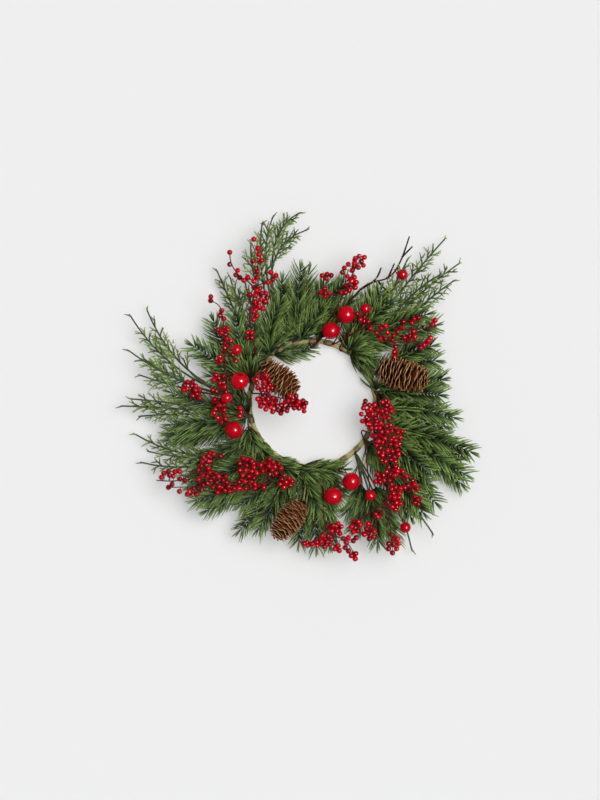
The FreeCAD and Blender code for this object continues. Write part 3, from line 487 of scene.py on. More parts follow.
class ConeSettings(bpy.types.PropertyGroup):
    """Sizes and colours of the pinecones."""

    length: distance("Cone length", "Length of the longest pinecone", 0.044)
    diameter: distance("Cone diameter", "Diameter of the thickest pinecone", 0.027)
    scale_width: distance("Scale width", "Width of the widest scales", 0.0102)
    scale_thickness: distance("Scale thickness", "Thickness of a scale at its rim", 0.00065)
    scale_count: whole("Scales", "Scales of one pinecone", 144)
    wire_diameter: distance("Wire diameter", "Thickness of a pinecone's wire", 0.0013)
    rim: colour("Rim", "Colour of the rims of the scales", paint(250, 198, 146))
    face: colour("Face", "Colour of the faces of the scales", paint(142, 78, 34))
    # The heart colour is painted shade between the scales and over the core
    heart: colour("Heart", "Colour between the scales", paint(10, 3, 1))


class StageSettings(bpy.types.PropertyGroup):
    """The camera, the light and the floor."""

    camera_distance: distance("Camera distance", "From the floor to the camera", 5.0)
    floor_side: distance("Floor", "Side of the square floor", 6.0)
    key_strength: amount("Key light", "Strength of the key light", 2.6)
    key_tilt: angle("Key tilt", "Key light from straight above", 25)
    key_turn: angle("Key turn", "Key light about the vertical", 18)
    key_softness: angle("Key softness", "Width of the key light", 55)
    sparkle_strength: amount("Sparkle", "Strength of the light that only glosses show", 15.0)
    sparkle_softness: angle("Sparkle softness", "Width of that light", 22)
    fill_strength: amount("Fill light", "Strength of the sky", 0.28)
    floor: colour("Floor colour", "Colour of the floor", paint(237, 237, 237))
    floor_glow: amount("Floor glow", "How much the camera sees the floor unshaded", 0.3)


class CandleRingSettings(bpy.types.PropertyGroup):
    """Everything that can be changed on the candle ring."""

    hoop: PointerProperty(type=HoopSettings)
    fir: PointerProperty(type=FirSettings)
    cedar: PointerProperty(type=CedarSettings)
    berry: PointerProperty(type=BerrySettings)
    cone: PointerProperty(type=ConeSettings)
    stage: PointerProperty(type=StageSettings)


class Term:
    """An output socket, on which Python's operators add Math nodes."""

    def __init__(self, paintbox, socket):
        self.paintbox = paintbox
        self.socket = socket

    def math(self, operation, *values):
        """Return the result of a Math node on the values."""
        return self.paintbox.term(0, "ShaderNodeMath", {"operation": operation}, dict(enumerate(values)))

    def __add__(self, other):
        return self.math("ADD", self, other)

    def __sub__(self, other):
        return self.math("SUBTRACT", self, other)

    def __rsub__(self, other):
        return self.math("SUBTRACT", other, self)

    def __mul__(self, other):
        return self.math("MULTIPLY", self, other)

    def __pow__(self, other):
        return self.math("POWER", self, other)

    __radd__ = __add__
    __rmul__ = __mul__

    def between(self, low, high):
        """Return 0 below low, 1 above high, and an even rise from one to the other."""
        values = {"Value": self, "From Min": low, "From Max": high}
        return self.paintbox.term("Result", "ShaderNodeMapRange", {"clamp": True}, values)


class Paintbox:
    """One material: its nodes, and the shader that they feed."""

    def __init__(self, name):
        self.material = bpy.data.materials.new(name)
        self.material.use_nodes = True
        self.tree = self.material.node_tree
        self.shader = self.tree.nodes["Principled BSDF"]

    def node(self, kind, settings=None, values=None):
        """Return a new node, with its settings made first and then its sockets fed."""
        node = self.tree.nodes.new(kind)
        for name, value in (settings or {}).items():
            setattr(node, name, value)
        for name, value in (values or {}).items():
            self.feed(node.inputs[name], value)
        return node

    def term(self, output, kind, settings=None, values=None):
        """Return one output of a new node."""
        return Term(self, self.node(kind, settings, values).outputs[output])

    def feed(self, socket, value):
        """Link a term to a socket, or set the socket to a value."""
        if isinstance(value, Term):
            self.tree.links.new(value.socket, socket)
        elif socket.type == "RGBA" and len(value) == 3:
            socket.default_value = (*value, 1)
        else:
            socket.default_value = value

    def finish(self, **values):
        """Feed the shader's sockets, named with _ for each space, and return the material."""
        for name, value in values.items():
            self.feed(self.shader.inputs[name.replace("_", " ")], value)
        return self.material

    def tones(self, *channels):
        """Return channels of the tones that the mesh carries."""
        tones = self.term("Color", "ShaderNodeAttribute", {"attribute_name": "tones"})
        parts = self.node("ShaderNodeSeparateColor", None, {"Color": tones})
        return [Term(self, parts.outputs[channel]) for channel in channels]

    def noise(self, scale, detail=2.0):
        """Return a noise about 0.5 whose waves are 1 / scale metres long."""
        place = self.term("Object", "ShaderNodeTexCoord")
        values = {"Vector": place, "Scale": scale, "Detail": detail}
        return self.term("Fac", "ShaderNodeTexNoise", None, values)

    def mix(self, share, first, second):
        """Return a colour between two."""
        return self.term(2, "ShaderNodeMix", {"data_type": "RGBA"}, {0: share, 6: first, 7: second})

    def bump(self, height, depth, strength):
        """Return normals for a height from 0 to 1, which stands for a depth in metres."""
        values = {"Height": height, "Distance": depth, "Strength": strength}
        return self.term("Normal", "ShaderNodeBump", None, values)


def shaded(colour, factor):
    """Return a colour made darker or lighter."""
    return tuple(min(1, value * factor) for value in colour)


def foliage_finish(name, sizes, roughness):
    """The finish of moulded leaves: bark at blue 0, and leaves by their tone and how far out they are."""
    box = Paintbox(name)
    tone, outward, leafy = box.tones("Red", "Green", "Blue")
    mottle = box.noise(900.0)
    # The outward term paints shade at the roots of needles and fingers, and the tone carries the painted
    # shade of the lower needle rows
    lightness = tone * 1.3 + mottle * 0.3 + box.noise(60.0) * 0.3 + outward * 0.75 - 1.17
    leaf = box.mix(lightness.between(0.0, 1.0), sizes.shade, sizes.light)
    leaf = box.mix((outward ** 2.5) * (tone * 0.6 + 0.35), leaf, sizes.tip)
    bark = box.mix(mottle, sizes.bark, shaded(sizes.bark, 0.5))
    return box.finish(
        Base_Color=box.mix(leafy, bark, leaf),
        Roughness=mottle * 0.2 + (roughness - 0.1),
        Normal=box.bump(box.noise(2500.0), LEAF_GRAIN_DEPTH, 0.4),
        Specular_IOR_Level=0.07,
    )


def berry_finish(sizes):
    """The finish of lacquered berries: red, mottled, dark at the calyx."""
    box = Paintbox("berry_lacquer")
    tone, calyx = box.tones("Red", "Green")
    mottle = box.noise(700.0, 3.0)
    share = (tone * 0.8 + box.noise(120.0) * 0.6 + mottle * 0.3 - 0.4).between(0.0, 1.0)
    return box.finish(
        Base_Color=box.mix(calyx, box.mix(share, sizes.deep, sizes.skin), sizes.calyx),
        Roughness=mottle * 0.1 + 0.12 + calyx * 0.4,
        Normal=box.bump(box.noise(1400.0, 3.0), LACQUER_DEPTH, 0.4),
        Specular_IOR_Level=0.12,
    )


def bark_finish(name, colour):
    """The finish of wrapped stems and thin twigs, streaked and bumpy."""
    box = Paintbox(name)
    mottle = box.noise(900.0, 4.0)
    return box.finish(
        Base_Color=box.mix(mottle.between(0.3, 0.7), shaded(colour, 0.45), shaded(colour, 1.7)),
        Roughness=mottle * 0.2 + 0.5,
        Normal=box.bump(mottle, WOOD_GRAIN_DEPTH, 0.6),
        Specular_IOR_Level=0.05,
    )


def paper_finish(name, colour, crease):
    """The finish of crepe paper, with painted shade in the fine creases along each strand."""
    box = Paintbox(name)
    fold = box.tones("Red")[0]
    mottle = box.noise(500.0, 4.0)
    # The crease colour comes in where the fold tone is low: painted shade in the creases
    share = (fold * 0.8 + mottle * 0.5 + box.noise(160.0) * 0.5 - 0.4).between(0.0, 1.0)
    return box.finish(
        Base_Color=box.mix(share, crease, colour),
        Roughness=mottle * 0.15 + 0.65,
        Normal=box.bump(box.noise(2200.0, 4.0), CREPE_DEPTH, 0.6),
        Specular_IOR_Level=0.05,
    )


def cone_finish(sizes):
    """The finish of a pinecone: painted shade at the heart, pale along the rims, with woody streaks."""
    box = Paintbox("pinecone_wood")
    outward, tone = box.tones("Red", "Green")
    grain = box.noise(900.0, 4.0)
    # The heart colour toward the feet of the scales is painted shade between the scales
    face = box.mix(outward.between(0.35, 0.92), sizes.heart, sizes.face)
    rim = outward.between(0.8, 0.97) * 1.2 + tone * 0.5 + box.noise(200.0) * 0.6 - 0.75
    wood = box.mix(rim.between(0.0, 1.0), face, sizes.rim)
    return box.finish(
        Base_Color=box.mix(grain.between(0.45, 0.75) * 0.35, wood, sizes.heart),
        Roughness=grain * 0.2 + 0.55,
        Normal=box.bump(grain, WOOD_GRAIN_DEPTH, 0.6),
        Specular_IOR_Level=0.05,
    )


def steel_finish(colour):
    """The finish of the bright drawn wire inside the ring."""
    box = Paintbox("drawn_steel")
    scratch = box.noise(1500.0, 3.0)
    return box.finish(
        Base_Color=box.mix(scratch, colour, shaded(colour, 0.6)), Metallic=1.0, Roughness=scratch * 0.2 + 0.3)


def floor_finish(colour, glow):
    """The plain pale floor, whose shadow the camera sees a little lighter."""
    box = Paintbox("pale_floor")
    base = box.mix(box.noise(40.0) * 0.02, colour, shaded(colour, 0.9))
    box.finish(Base_Color=base, Roughness=0.9, Specular_IOR_Level=0.0)
    rays = box.node("ShaderNodeLightPath")
    seen = Term(box, rays.outputs["Is Camera Ray"])
    for kind in ("Is Glossy Ray", "Is Transmission Ray"):
        seen = seen.math("MAXIMUM", seen, Term(box, rays.outputs[kind]))
    plain = box.term(0, "ShaderNodeEmission", None, {"Color": colour, "Strength": 1.0})
    values = {0: seen * glow, 1: Term(box, box.shader.outputs[0]), 2: plain}
    both = box.term(0, "ShaderNodeMixShader", None, values)
    box.feed(box.tree.nodes["Material Output"].inputs["Surface"], both)
    return box.material


class Shell:
    """The corners and faces of one mesh, with the tones that its finish reads."""

    def __init__(self):
        self.corners = []
        self.faces = []
        self.tones = []

    def add(self, place, tones):
        """Add a corner and return its number."""
        self.corners.append(place)
        self.tones.append((*tones, 1.0))
        return len(self.corners) - 1

    def skin(self, rings, closed=True):
        """Add the faces between rings of corners, one after the other."""
        for low, high in zip(rings, rings[1:]):
            count = len(low)
            for side in range(count if closed else count - 1):
                following = (side + 1) % count
                self.faces.append((low[side], low[following], high[following], high[side]))

    def cap(self, ring, point, at_end):
        """Close a ring of corners with a fan to a point."""
        for side in range(len(ring)):
            following = (side + 1) % len(ring)
            pair = (ring[side], ring[following]) if at_end else (ring[following], ring[side])
            self.faces.append((*pair, point))

    def close(self, rings, start, start_tones, end, end_tones):
        """Add the faces between closed rings, and a fan to a point at both ends."""
        self.skin(rings)
        self.cap(rings[0], self.add(start, start_tones), False)
        self.cap(rings[-1], self.add(end, end_tones), True)

    def close_flat(self, rings, tones):
        """Add the faces between closed rings that run backwards, with a flat fan at both ends."""
        middles = []
        for ring in (rings[0], rings[-1]):
            middles.append(sum((self.corners[corner] for corner in ring), Vector()) / len(ring))
        self.close([ring[::-1] for ring in rings], middles[0], tones, middles[1], tones)

    def piece(self, name, finish, slot, node):
        """Make the smooth mesh object, which rides on the ring's one body in place of its CAD node."""
        mesh = bpy.data.meshes.new(name)
        mesh.from_pydata(self.corners, [], self.faces)
        attribute = mesh.attributes.new("tones", "FLOAT_COLOR", "POINT")
        attribute.data.foreach_set("color", [value for tones in self.tones for value in tones])
        mesh.materials.append(finish)
        mesh.shade_smooth()
        piece = bpy.data.objects.new(name, mesh)
        bpy.context.scene.collection.objects.link(piece)
        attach(piece, "root")
        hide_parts(node)


def settings():
    """Return the settings of the candle ring."""
    return bpy.context.scene.candle_ring


def seeded(kind, number=0):
    """Return the chance of one piece, which gives the same draws in each run."""
    return random.Random(SEEDS[kind] + number)


def ring_half():
    """Return half the thickness of the wound ring."""
    hoop = settings().hoop
    return hoop.wire_diameter / 2 + hoop.strand_clearance + hoop.strand_diameter


def ring_height():
    """Return the height of the ring's middle line."""
    hoop = settings().hoop
    return ring_half() + hoop.seat_gap + hoop.tape_thickness


def tang_height():
    """Return the height at which stems are bound to the ring."""
    hoop = settings().hoop
    return ring_height() + ring_half() + hoop.seat_gap + hoop.tang_side / 2


def level(share):
    """Return the height of a spray, from its share of the spray height."""
    return tang_height() + share * settings().hoop.spray_height


def picture_scale():
    """Return the metres for each pixel of the picture."""
    return settings().hoop.ring_radius / PICTURE_RING_RADIUS_PIXELS


def spot(place, height=0.0):
    """Return the point that stands over a place in the picture."""
    across = (place[0] - PICTURE_CENTRE_PIXELS[0]) * picture_scale()
    along = (PICTURE_CENTRE_PIXELS[1] - place[1]) * picture_scale()
    return Vector((across, along, height))


def tang_run(tape, slot, toward):
    """Return the two ends of a stem's straight run through its tape."""
    hoop = settings().hoop
    angle = 2 * math.pi * tape / hoop.tape_count
    radius = hoop.ring_radius + slot * (hoop.tang_side + hoop.seat_gap)
    middle = Vector((radius * math.cos(angle), radius * math.sin(angle), tang_height()))
    way = Vector((-math.sin(angle), math.cos(angle), 0))
    if (toward - middle).dot(way) < 0:
        way = -way
    return middle - way * (hoop.tape_width / 2), middle + way * (hoop.tape_width / 2 + hoop.tang_reach)


def bent(ends, share):
    """Return the point and the direction at a share of a bent line."""
    start, bend, tip = ends
    point = start * (1 - share) ** 2 + bend * (2 * share * (1 - share)) + tip * share ** 2
    way = (bend - start) * (1 - share) + (tip - bend) * share
    return point, way.normalized()


def above_floor(point):
    """Return the point, lifted where it would touch the floor."""
    return Vector((point.x, point.y, max(point.z, FLOOR_CLEARANCE)))


def swung(first, second, angle):
    """Return the direction at an angle from the first toward the second, which is square to it."""
    return first * math.cos(angle) + second * math.sin(angle)


def level_way(angle):
    """Return the level direction at an angle about the vertical."""
    return Vector((math.cos(angle), math.sin(angle), 0))


def square_to(way):
    """Return two directions square to a way, the first of them level."""
    across = way.cross(UP)
    if across.length < 0.05:
        across = Vector((1, 0, 0))
    across.normalize()
    return across, across.cross(way)


def tube(shell, line, radii, tones=BARK_TONES, sides=6):
    """Add a closed tube of changing radius along a line."""
    rings = []
    for number, middle in enumerate(line):
        before = line[max(0, number - 1)]
        after = line[min(len(line) - 1, number + 1)]
        across, lift = square_to((after - before).normalized())
        outs = [swung(across, lift, 2 * math.pi * side / sides) for side in range(sides)]
        rings.append([shell.add(above_floor(middle + out * radii[number]), tones) for out in outs])
    shell.close(rings, line[0], tones, line[-1], tones)


def smooth_line(points, steps=5):
    """Return a smooth line through the points, with that many steps for each run."""
    line = []
    for number in range(len(points) - 1):
        before = points[max(0, number - 1)]
        start, end = points[number], points[number + 1]
        after = points[min(len(points) - 1, number + 2)]
        for step in range(steps):
            share = step / steps
            line.append(0.5 * (
                2 * start + (end - before) * share
                + (2 * before - 5 * start + 4 * end - after) * share ** 2
                + (3 * start - before - 3 * end + after) * share ** 3
            ))
    line.append(points[-1])
    return line


def needle(shell, root, way, toward, length, width, tone):
    """Add a flat pointed needle that leaves its root one way and bends toward another."""
    across, lift = square_to(way)
    rings = []
    for share, wide in NEEDLE_SHAPE_SHARES:
        middle = root + (way * share + toward * share ** 2) * length
        half = across * (width * wide / 2)
        thick = lift * (width * wide * NEEDLE_THICKNESS_SHARE / 2)
        outs = (half, thick, -half, -thick)
        rings.append([shell.add(above_floor(middle + out), (tone, share, 1.0)) for out in outs])
    tip = above_floor(root + (way + toward) * length)
    shell.close(rings, root, (tone, 0.0, 1.0), tip, (tone, 1.0, 1.0))


def branches(rows, kind, foot_radius):
    """Give each branch's number, its chance, the shell with its foot, and its twigs' ends and bare shares."""
    for number, tape, slot, twigs in rows:
        shell = Shell()
        start, end = tang_run(tape, slot, spot(twigs[0][1]))
        tube(shell, [start, end], [foot_radius, foot_radius])
        yield number, seeded(kind, number), shell, [(twig_ends(end, twig), twig[3]) for twig in twigs]


def twig_ends(start, twig):
    """Return the three points of a twig, lifted as its layer asks."""
    flat = Vector((start.x, start.y, 0))
    bend, tip = spot(twig[0]), spot(twig[1])
    heading = (tip - flat).normalized()
    rise = LAYER_RISE_SHARES[twig[2]]
    return [place + UP * (start.z + rise * (place - flat).dot(heading)) for place in (flat, bend, tip)]


def twig_wood(shell, ends, steps, reach, radii, tones):
    """Add the wood of a twig as far as a share of its run, and return the length of the run."""
    shares = [number / steps for number in range(steps + 1)]
    line = [bent(ends, reach * share)[0] for share in shares]
    tube(shell, line, [radii[0] + (radii[1] - radii[0]) * share for share in shares], tones)
    return (ends[1] - ends[0]).length + (ends[2] - ends[1]).length


def needle_style(number):
    """Return how the needles of a fir branch stand."""
    style = dict(FROND_STYLE if number in FROND_BRANCHES else FINE_STYLE)
    # Branches that lie in shade get painted shade in their tone
    if number in PAINTED_SHADE_BRANCHES:
        style["tone"] += PAINTED_SHADE_TONE
    return style


def fir_twig(shell, chance, ends, bare_share, sizes, style):
    """Add one fir twig: its wood, its rows of needles and the tuft at its tip."""
    radius = sizes.twig_width / 2
    run = twig_wood(shell, ends, 10, WOOD_SHARE, (radius, radius * 0.4), BARK_TONES)
    leafy = WOOD_SHARE - bare_share
    count = round(run * leafy / (sizes.needle_step * style["step"]))
    # A random tone for each twig, plus the style's tone, which for some branches holds painted shade
    shade = chance.gauss(0, 0.08) + style["tone"]
    stray = style["stray"]
    for number in range(count):
        for degrees, reach, spread, tone, row_end in NEEDLE_ROWS:
            at = bare_share + leafy * (number + 0.5 + chance.uniform(-0.5, 0.5) * stray) / count
            if at > row_end or chance.random() < LOST_NEEDLE_SHARE:
                continue
            point, way = bent(ends, at)
            across, lift = square_to(way)
            out = swung(across, lift, math.radians(degrees + chance.gauss(0, 8) * stray))
            lean = math.radians(spread * style["spread"] * (1.15 - 0.3 * at) + chance.gauss(0, 5) * stray)
            length = sizes.needle_length * reach * (1 - 0.4 * at ** 3) * chance.uniform(0.82, 1.08)
            toward = way * (style["bend"] * chance.uniform(0.6, 1.4)) + UP * chance.gauss(0, 0.08)
            width = sizes.needle_width * style["width"] * chance.uniform(0.85, 1.15)
            # The row's tone carries the shade painted on the rows below the twig
            light = tone + shade + TIP_LIGHT * at ** 2 + chance.gauss(0, NEEDLE_TONE_STRAY)
            needle(shell, point, swung(way, out, lean), toward, length, width, light)
    point, way = bent(ends, WOOD_SHARE)
    across, lift = square_to(way)
    for number in range(TUFT_NEEDLES):
        roll = 2 * math.pi * number / TUFT_NEEDLES
        leaves = swung(way, swung(across, lift, roll), math.radians(chance.uniform(3, 18)))
        length = sizes.needle_length * chance.uniform(0.45, 0.65)
        needle(shell, point, leaves, way * 0.1, length, sizes.needle_width, chance.uniform(0.4, 1.0))


def finger(shell, chance, root, way, length, width, tone, start_share):
    """Add one finger of overlapping scale leaves, knobbly, with a blunt tip."""
    knobs = max(2, round(length / (width * 1.1)))
    across, lift = square_to(way)
    side_bend = across * chance.gauss(0, 0.12) + UP * chance.gauss(0, 0.06)
    rings = []
    for number in range(2 * knobs):
        share = number / (2 * knobs)
        wide = width / 2 * (1.05 if number % 2 else 0.78) * (1 - 0.5 * share)
        middle = root + (way * share + side_bend * share ** 2) * length
        tones = (tone, start_share + (1 - start_share) * share, 1.0)
        outs = [swung(across, lift * 0.8, 2 * math.pi * (side + number / 4) / 5) for side in range(5)]
        rings.append([shell.add(above_floor(middle + out * wide), tones) for out in outs])
    tip = above_floor(root + (way + side_bend) * length)
    shell.close(rings, root, (tone, start_share, 1.0), tip, (tone, 1.0, 1.0))


def branchlet(shell, chance, root, way, length, sizes, tone):
    """Add a branchlet of cedar: one long finger, with shorter ones on both sides."""
    finger(shell, chance, root, way, length, sizes.leaf_width, tone, 0.0)
    across, lift = square_to(way)
    count = max(1, int(length / sizes.leaf_step) - 1)
    side = chance.choice((-1, 1))
    for number in range(count):
        share = (number + 1) / (count + 1.5)
        lean = math.radians(chance.gauss(33, 8))
        out = across * side + lift * chance.gauss(0, 0.3)
        reach = sizes.leaf_length * (1.1 - 0.5 * share) * chance.uniform(0.75, 1.15)
        finger(
            shell, chance, root + way * (length * share), swung(way, out.normalized(), lean), reach,
            sizes.leaf_width * 0.9, tone + chance.gauss(0, 0.15), 0.25 + 0.4 * share)
        side = -side


def cedar_twig(shell, chance, ends, bare_share, sizes):
    """Add one cedar twig: its wood and its branchlets, longest near the foot."""
    radii = (sizes.leaf_width * 0.6, sizes.leaf_width * 0.35)
    run = twig_wood(shell, ends, 12, 1.0, radii, CEDAR_WOOD_TONES)
    leafy = CEDAR_LEAFY_SHARE - bare_share
    count = round(run * leafy / sizes.branchlet_step)
    side = 1
    for number in range(count):
        share = bare_share + leafy * (number + chance.uniform(0, 0.6)) / count
        point, way = bent(ends, share)
        across, lift = square_to(way)
        lean = math.radians(chance.gauss(40 - 12 * share, 6))
        out = across * side + lift * chance.gauss(0.05, 0.25)
        reach = sizes.branchlet_length * (1 - 0.45 * number / count) * chance.uniform(0.7, 1.1)
        branchlet(shell, chance, point, swung(way, out.normalized(), lean), reach, sizes, chance.random())
        side = -side
    point, way = bent(ends, 1.0)
    branchlet(shell, chance, point, way, sizes.branchlet_length * 0.25, sizes, chance.random())


def round_berry(shell, middle, calyx_way, radius, faces, tone, dimple):
    """Add a berry: a ball that is dimpled at its calyx, which is a small dark star."""
    segments, levels = faces
    turn = UP.rotation_difference(calyx_way)
    rings = []
    for number in range(1, levels):
        polar = math.pi * number / levels
        near_calyx = math.exp(-(polar / 0.42) ** 2)
        squeeze = 1 - dimple * near_calyx - dimple * 0.25 * math.exp(-((math.pi - polar) / 0.5) ** 2)
        dark = 1.0 if near_calyx > 0.8 else max(0.0, near_calyx - 0.5)
        starred = near_calyx > 0.62 and dimple < 0.1
        ring = []
        for side in range(segments):
            lift = 1.04 if starred and side % 2 == 0 else 1.0
            out = swung(UP, level_way(2 * math.pi * side / segments), polar)
            ring.append(shell.add(middle + turn @ (out * (radius * squeeze * lift)), (tone, dark, 0.0)))
        rings.append(ring)
    top = middle + turn @ (UP * (radius * (1 - dimple * 1.1)))
    bottom = middle - turn @ (UP * (radius * (1 - dimple * 0.25)))
    shell.close(rings, top, (tone, 1.0, 0.0), bottom, (tone, 0.0, 0.0))


def loose_middles(node):
    """Return the middle of each separate solid of a CAD node."""
    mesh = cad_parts[node].data
    numbers = {}
    same = []
    for corner in mesh.vertices:
        key = tuple(round(value * 1e6) for value in corner.co)
        same.append(numbers.setdefault(key, len(numbers)))
    chief = list(range(len(numbers)))

    def lead(number):
        while chief[number] != number:
            chief[number] = chief[chief[number]]
            number = chief[number]
        return number

    for face in mesh.polygons:
        first = lead(same[face.vertices[0]])
        for corner in face.vertices[1:]:
            chief[lead(same[corner])] = first
    groups = {}
    for key, number in numbers.items():
        groups.setdefault(lead(number), []).append(Vector(key) / 1e6)
    return [sum(group, Vector()) / len(group) for group in groups.values()]


def between_berries(chance, middles, diameter, share):
    """Return the middles of more berries, which fill the gaps between those there are."""
    added = []
    for middle in middles:
        near = [other for other in middles if (other - middle).length < diameter * NEAR_BERRY]
        inward = sum(near, Vector()) / len(near) - middle
        for attempt in range(BERRY_TRIES):
            turn = chance.uniform(0, 2 * math.pi)
            aside = Vector((math.cos(turn), math.sin(turn), chance.uniform(-0.9, 0.2)))
            place = middle + (aside + inward * (1.5 / diameter)).normalized() * (diameter * NEW_BERRY_STEP)
            apart = min((place - other).length for other in middles + added)
            if apart > diameter * CLOSEST_BERRIES and chance.random() < share:
                added.append(place)
                break
    return added


def nearest(point, lines):
    """Return the point of the lines that lies nearest, and the way of its line."""
    best = None
    for line in lines:
        for start, end in zip(line, line[1:]):
            run = end - start
            share = min(1, max(0, (point - start).dot(run) / max(run.length_squared, 1e-12)))
            candidate = start + run * share
            apart = (candidate - point).length
            if best is None or apart < best[0]:
                best = (apart, candidate, run.normalized())
    return best[1], best[2]


def spray_lines(tape, slot, height, stems):
    """Return the smooth lines of a spray's stems, the first from its tape."""
    start, end = tang_run(tape, slot, spot(stems[0][1]))
    lines = [[start, end] + [spot(place, height) for place in stems[0][1:]]]
    for stem in stems[1:]:
        foot = nearest(spot(stem[0], height), [line[2:] for line in lines if len(line) > 3] or lines)[0]
        lines.append([foot] + [spot(place, height) for place in stem[1:]])
    return [smooth_line(line) for line in lines]


def stem_tube(shell, chance, line, diameter):
    """Add a stem with the knots and the thin end of a wrapped wire."""
    count = len(line) - 1
    thins = [1 - 0.35 * number / count for number in range(count + 1)]
    tube(shell, line, [diameter / 2 * thin * chance.uniform(0.88, 1.12) for thin in thins])


def dress_spray(number, tape, slot, height_share, stems, finishes):
    """Dress one berry spray: its stems and stalks, and its small berries."""
    sizes = settings().berry
    chance = seeded("sprays", number)
    lines = spray_lines(tape, slot, level(height_share), stems)
    wood = Shell()
    for line in lines:
        stem_tube(wood, chance, line, sizes.stem_diameter)
    berries = Shell()
    middles = loose_middles("berry_cluster_%d" % number)
    places, added_share = ADDED_BERRIES.get(number, ((), 0))
    for place in places:
        middles.append(spot(place, level(added_share) + chance.uniform(-BERRY_STRAY, BERRY_STRAY)))
    share = EXTRA_BERRY_SHARES[number - 1]
    for middle in middles + between_berries(chance, middles, sizes.small_diameter, share):
        foot, way = nearest(middle, lines)
        apart = (middle - foot).normalized() if (middle - foot).length > TOUCHING else UP
        foot = foot - way * chance.uniform(0.0, BERRY_STRAY)
        if (middle - foot).length < LONGEST_STALK:
            bow = (foot + middle) / 2 + way * chance.uniform(-STALK_BOW, STALK_BOW)
            tube(wood, smooth_line([foot, bow, middle], 2), [sizes.stalk_diameter / 2] * 5, sides=5)
        calyx_way = (apart + Vector([chance.gauss(0, 0.35) for axis in range(3)])).normalized()
        radius = sizes.small_diameter / 2 * chance.uniform(0.94, 1.06)
        tone = chance.random()
        round_berry(berries, middle, calyx_way, radius, SMALL_BERRY_FACES, tone, SMALL_DIMPLE_SHARE)
    wood.piece("berry_spray_stems_%d" % number, finishes["stem"], "berry_stems", "berry_stem_%d" % number)
    berries.piece("small_berries_%d" % number, finishes["berry"], "berries", "berry_cluster_%d" % number)


def dress_single_berries(name, places, diameter, dimple, finishes, wood):
    """Dress the larger berries of one size, and add their wires to the wood."""
    sizes = settings().berry
    chance = random.Random(round(diameter * 1e4))
    shell = Shell()
    for place, height_share, tape, slot, calyx_way in places:
        middle = spot(place, level(height_share))
        start, end = tang_run(tape, slot, spot(place))
        stop = middle - (middle - end).normalized() * (diameter * 0.48)
        stem_tube(wood, chance, smooth_line([start, end, stop]), sizes.stem_diameter)
        calyx_way = Vector(calyx_way).normalized()
        tone = chance.uniform(0.6, 1.0)
        round_berry(shell, middle, calyx_way, diameter / 2, SINGLE_BERRY_FACES, tone, dimple)
    shell.piece(name, finishes["berry"], "berries", name)


def cone_radius(share, diameter):
    """Return a pinecone's outer radius at a share of its length."""
    for (low, thin), (high, thick) in zip(PINECONE_SHAPE_SHARES, PINECONE_SHAPE_SHARES[1:]):
        if share <= high:
            return diameter / 2 * (thin + (thick - thin) * (share - low) / (high - low))
    return diameter / 2 * PINECONE_SHAPE_SHARES[-1][1]


def cone_scale(shell, foot, outward, across, axis, length, width, thickness, tone):
    """Add one woody scale: a cupped fan with a rounded rim, thin at its foot."""
    columns, rows = 8, 5
    tops, unders = [], []
    for row in range(rows + 1):
        share = row / rows
        top, under = [], []
        for column in range(columns + 1):
            aside = 2 * column / columns - 1
            wide = width / 2 * (0.25 + 0.75 * math.sin(share * math.pi / 2) ** 0.9)
            reach = length * share * (1 - 0.42 * abs(aside) ** 2.2 * share)
            cup = axis * (length * 0.16 * aside ** 2 * share) - axis * (length * 0.10 * share ** 3)
            middle = foot + outward * reach + across * (aside * wide) + cup
            half = thickness / 2 * (0.5 + 0.5 * share) * (1 - 0.5 * abs(aside) ** 3)
            # The first tone rises from the scale's foot, where shade is painted, to its rim
            top.append(shell.add(middle + axis * half, (share * (1 - 0.1 * abs(aside)), tone, 0.0)))
            under.append(shell.add(middle - axis * half, (share * 0.8, tone, 0.0)))
        tops.append(top)
        unders.append(under)
    shell.skin(tops, False)
    shell.skin([under[::-1] for under in unders], False)
    edges = []
    for side in (unders, tops):
        edge = [row[0] for row in side] + side[-1][1:] + [row[-1] for row in side[-2::-1]]
        edges.append(edge + edge[:1])
    shell.skin(edges, False)
    shell.faces.append((tops[0][0], unders[0][0], unders[0][-1], tops[0][-1]))


def dress_pinecone(number, foot, way, length, diameter, leans, finish):
    """Dress one pinecone: its core and its spiral of scales."""
    sizes = settings().cone
    chance = seeded("pinecones", number)
    turn = UP.rotation_difference(way)
    core = Shell()
    line = [foot + way * (length * share) for share in CONE_CORE_SHARES]
    radii = [cone_radius(share, diameter) * CONE_CORE_WIDTH_SHARE for share in CONE_CORE_SHARES]
    tube(core, line, radii, CONE_CORE_TONES, 16)
    shell = Shell()
    for scale in range(sizes.scale_count):
        share = (scale + 0.5) / sizes.scale_count
        outer = cone_radius(share, diameter) * chance.uniform(0.92, 1.04)
        inner = outer * 0.3
        stray = chance.gauss(0, SCALE_LEAN_SPREAD)
        lean = math.radians(leans[0] + (leans[1] - leans[0]) * share + stray)
        if chance.random() < CLOSED_SCALES_SHARE:
            lean *= CLOSED_SCALE_LEAN
        flat = level_way(scale * GOLDEN_ANGLE)
        outward = swung(UP, flat, lean)
        across = (UP.cross(flat) + UP * chance.gauss(0, SCALE_TWIST_SPREAD)).normalized()
        axis = outward.cross(across)
        if axis.z < 0:
            axis = -axis
        reach = (outer - inner) / math.sin(lean)
        base = flat * inner + UP * (length * share * 0.97 - reach * math.cos(lean) * 0.55)
        width = sizes.scale_width * (outer / (sizes.diameter / 2)) * chance.uniform(0.9, 1.05)
        cone_scale(
            shell, foot + turn @ base, turn @ outward, turn @ across, turn @ axis,
            reach, width, sizes.scale_thickness, chance.random())
    core.piece("pinecone_heart_%d" % number, finish, "pinecone", "pinecone_core_%d" % number)
    shell.piece("pinecone_spiral_%d" % number, finish, "pinecone", "pinecone_scales_%d" % number)


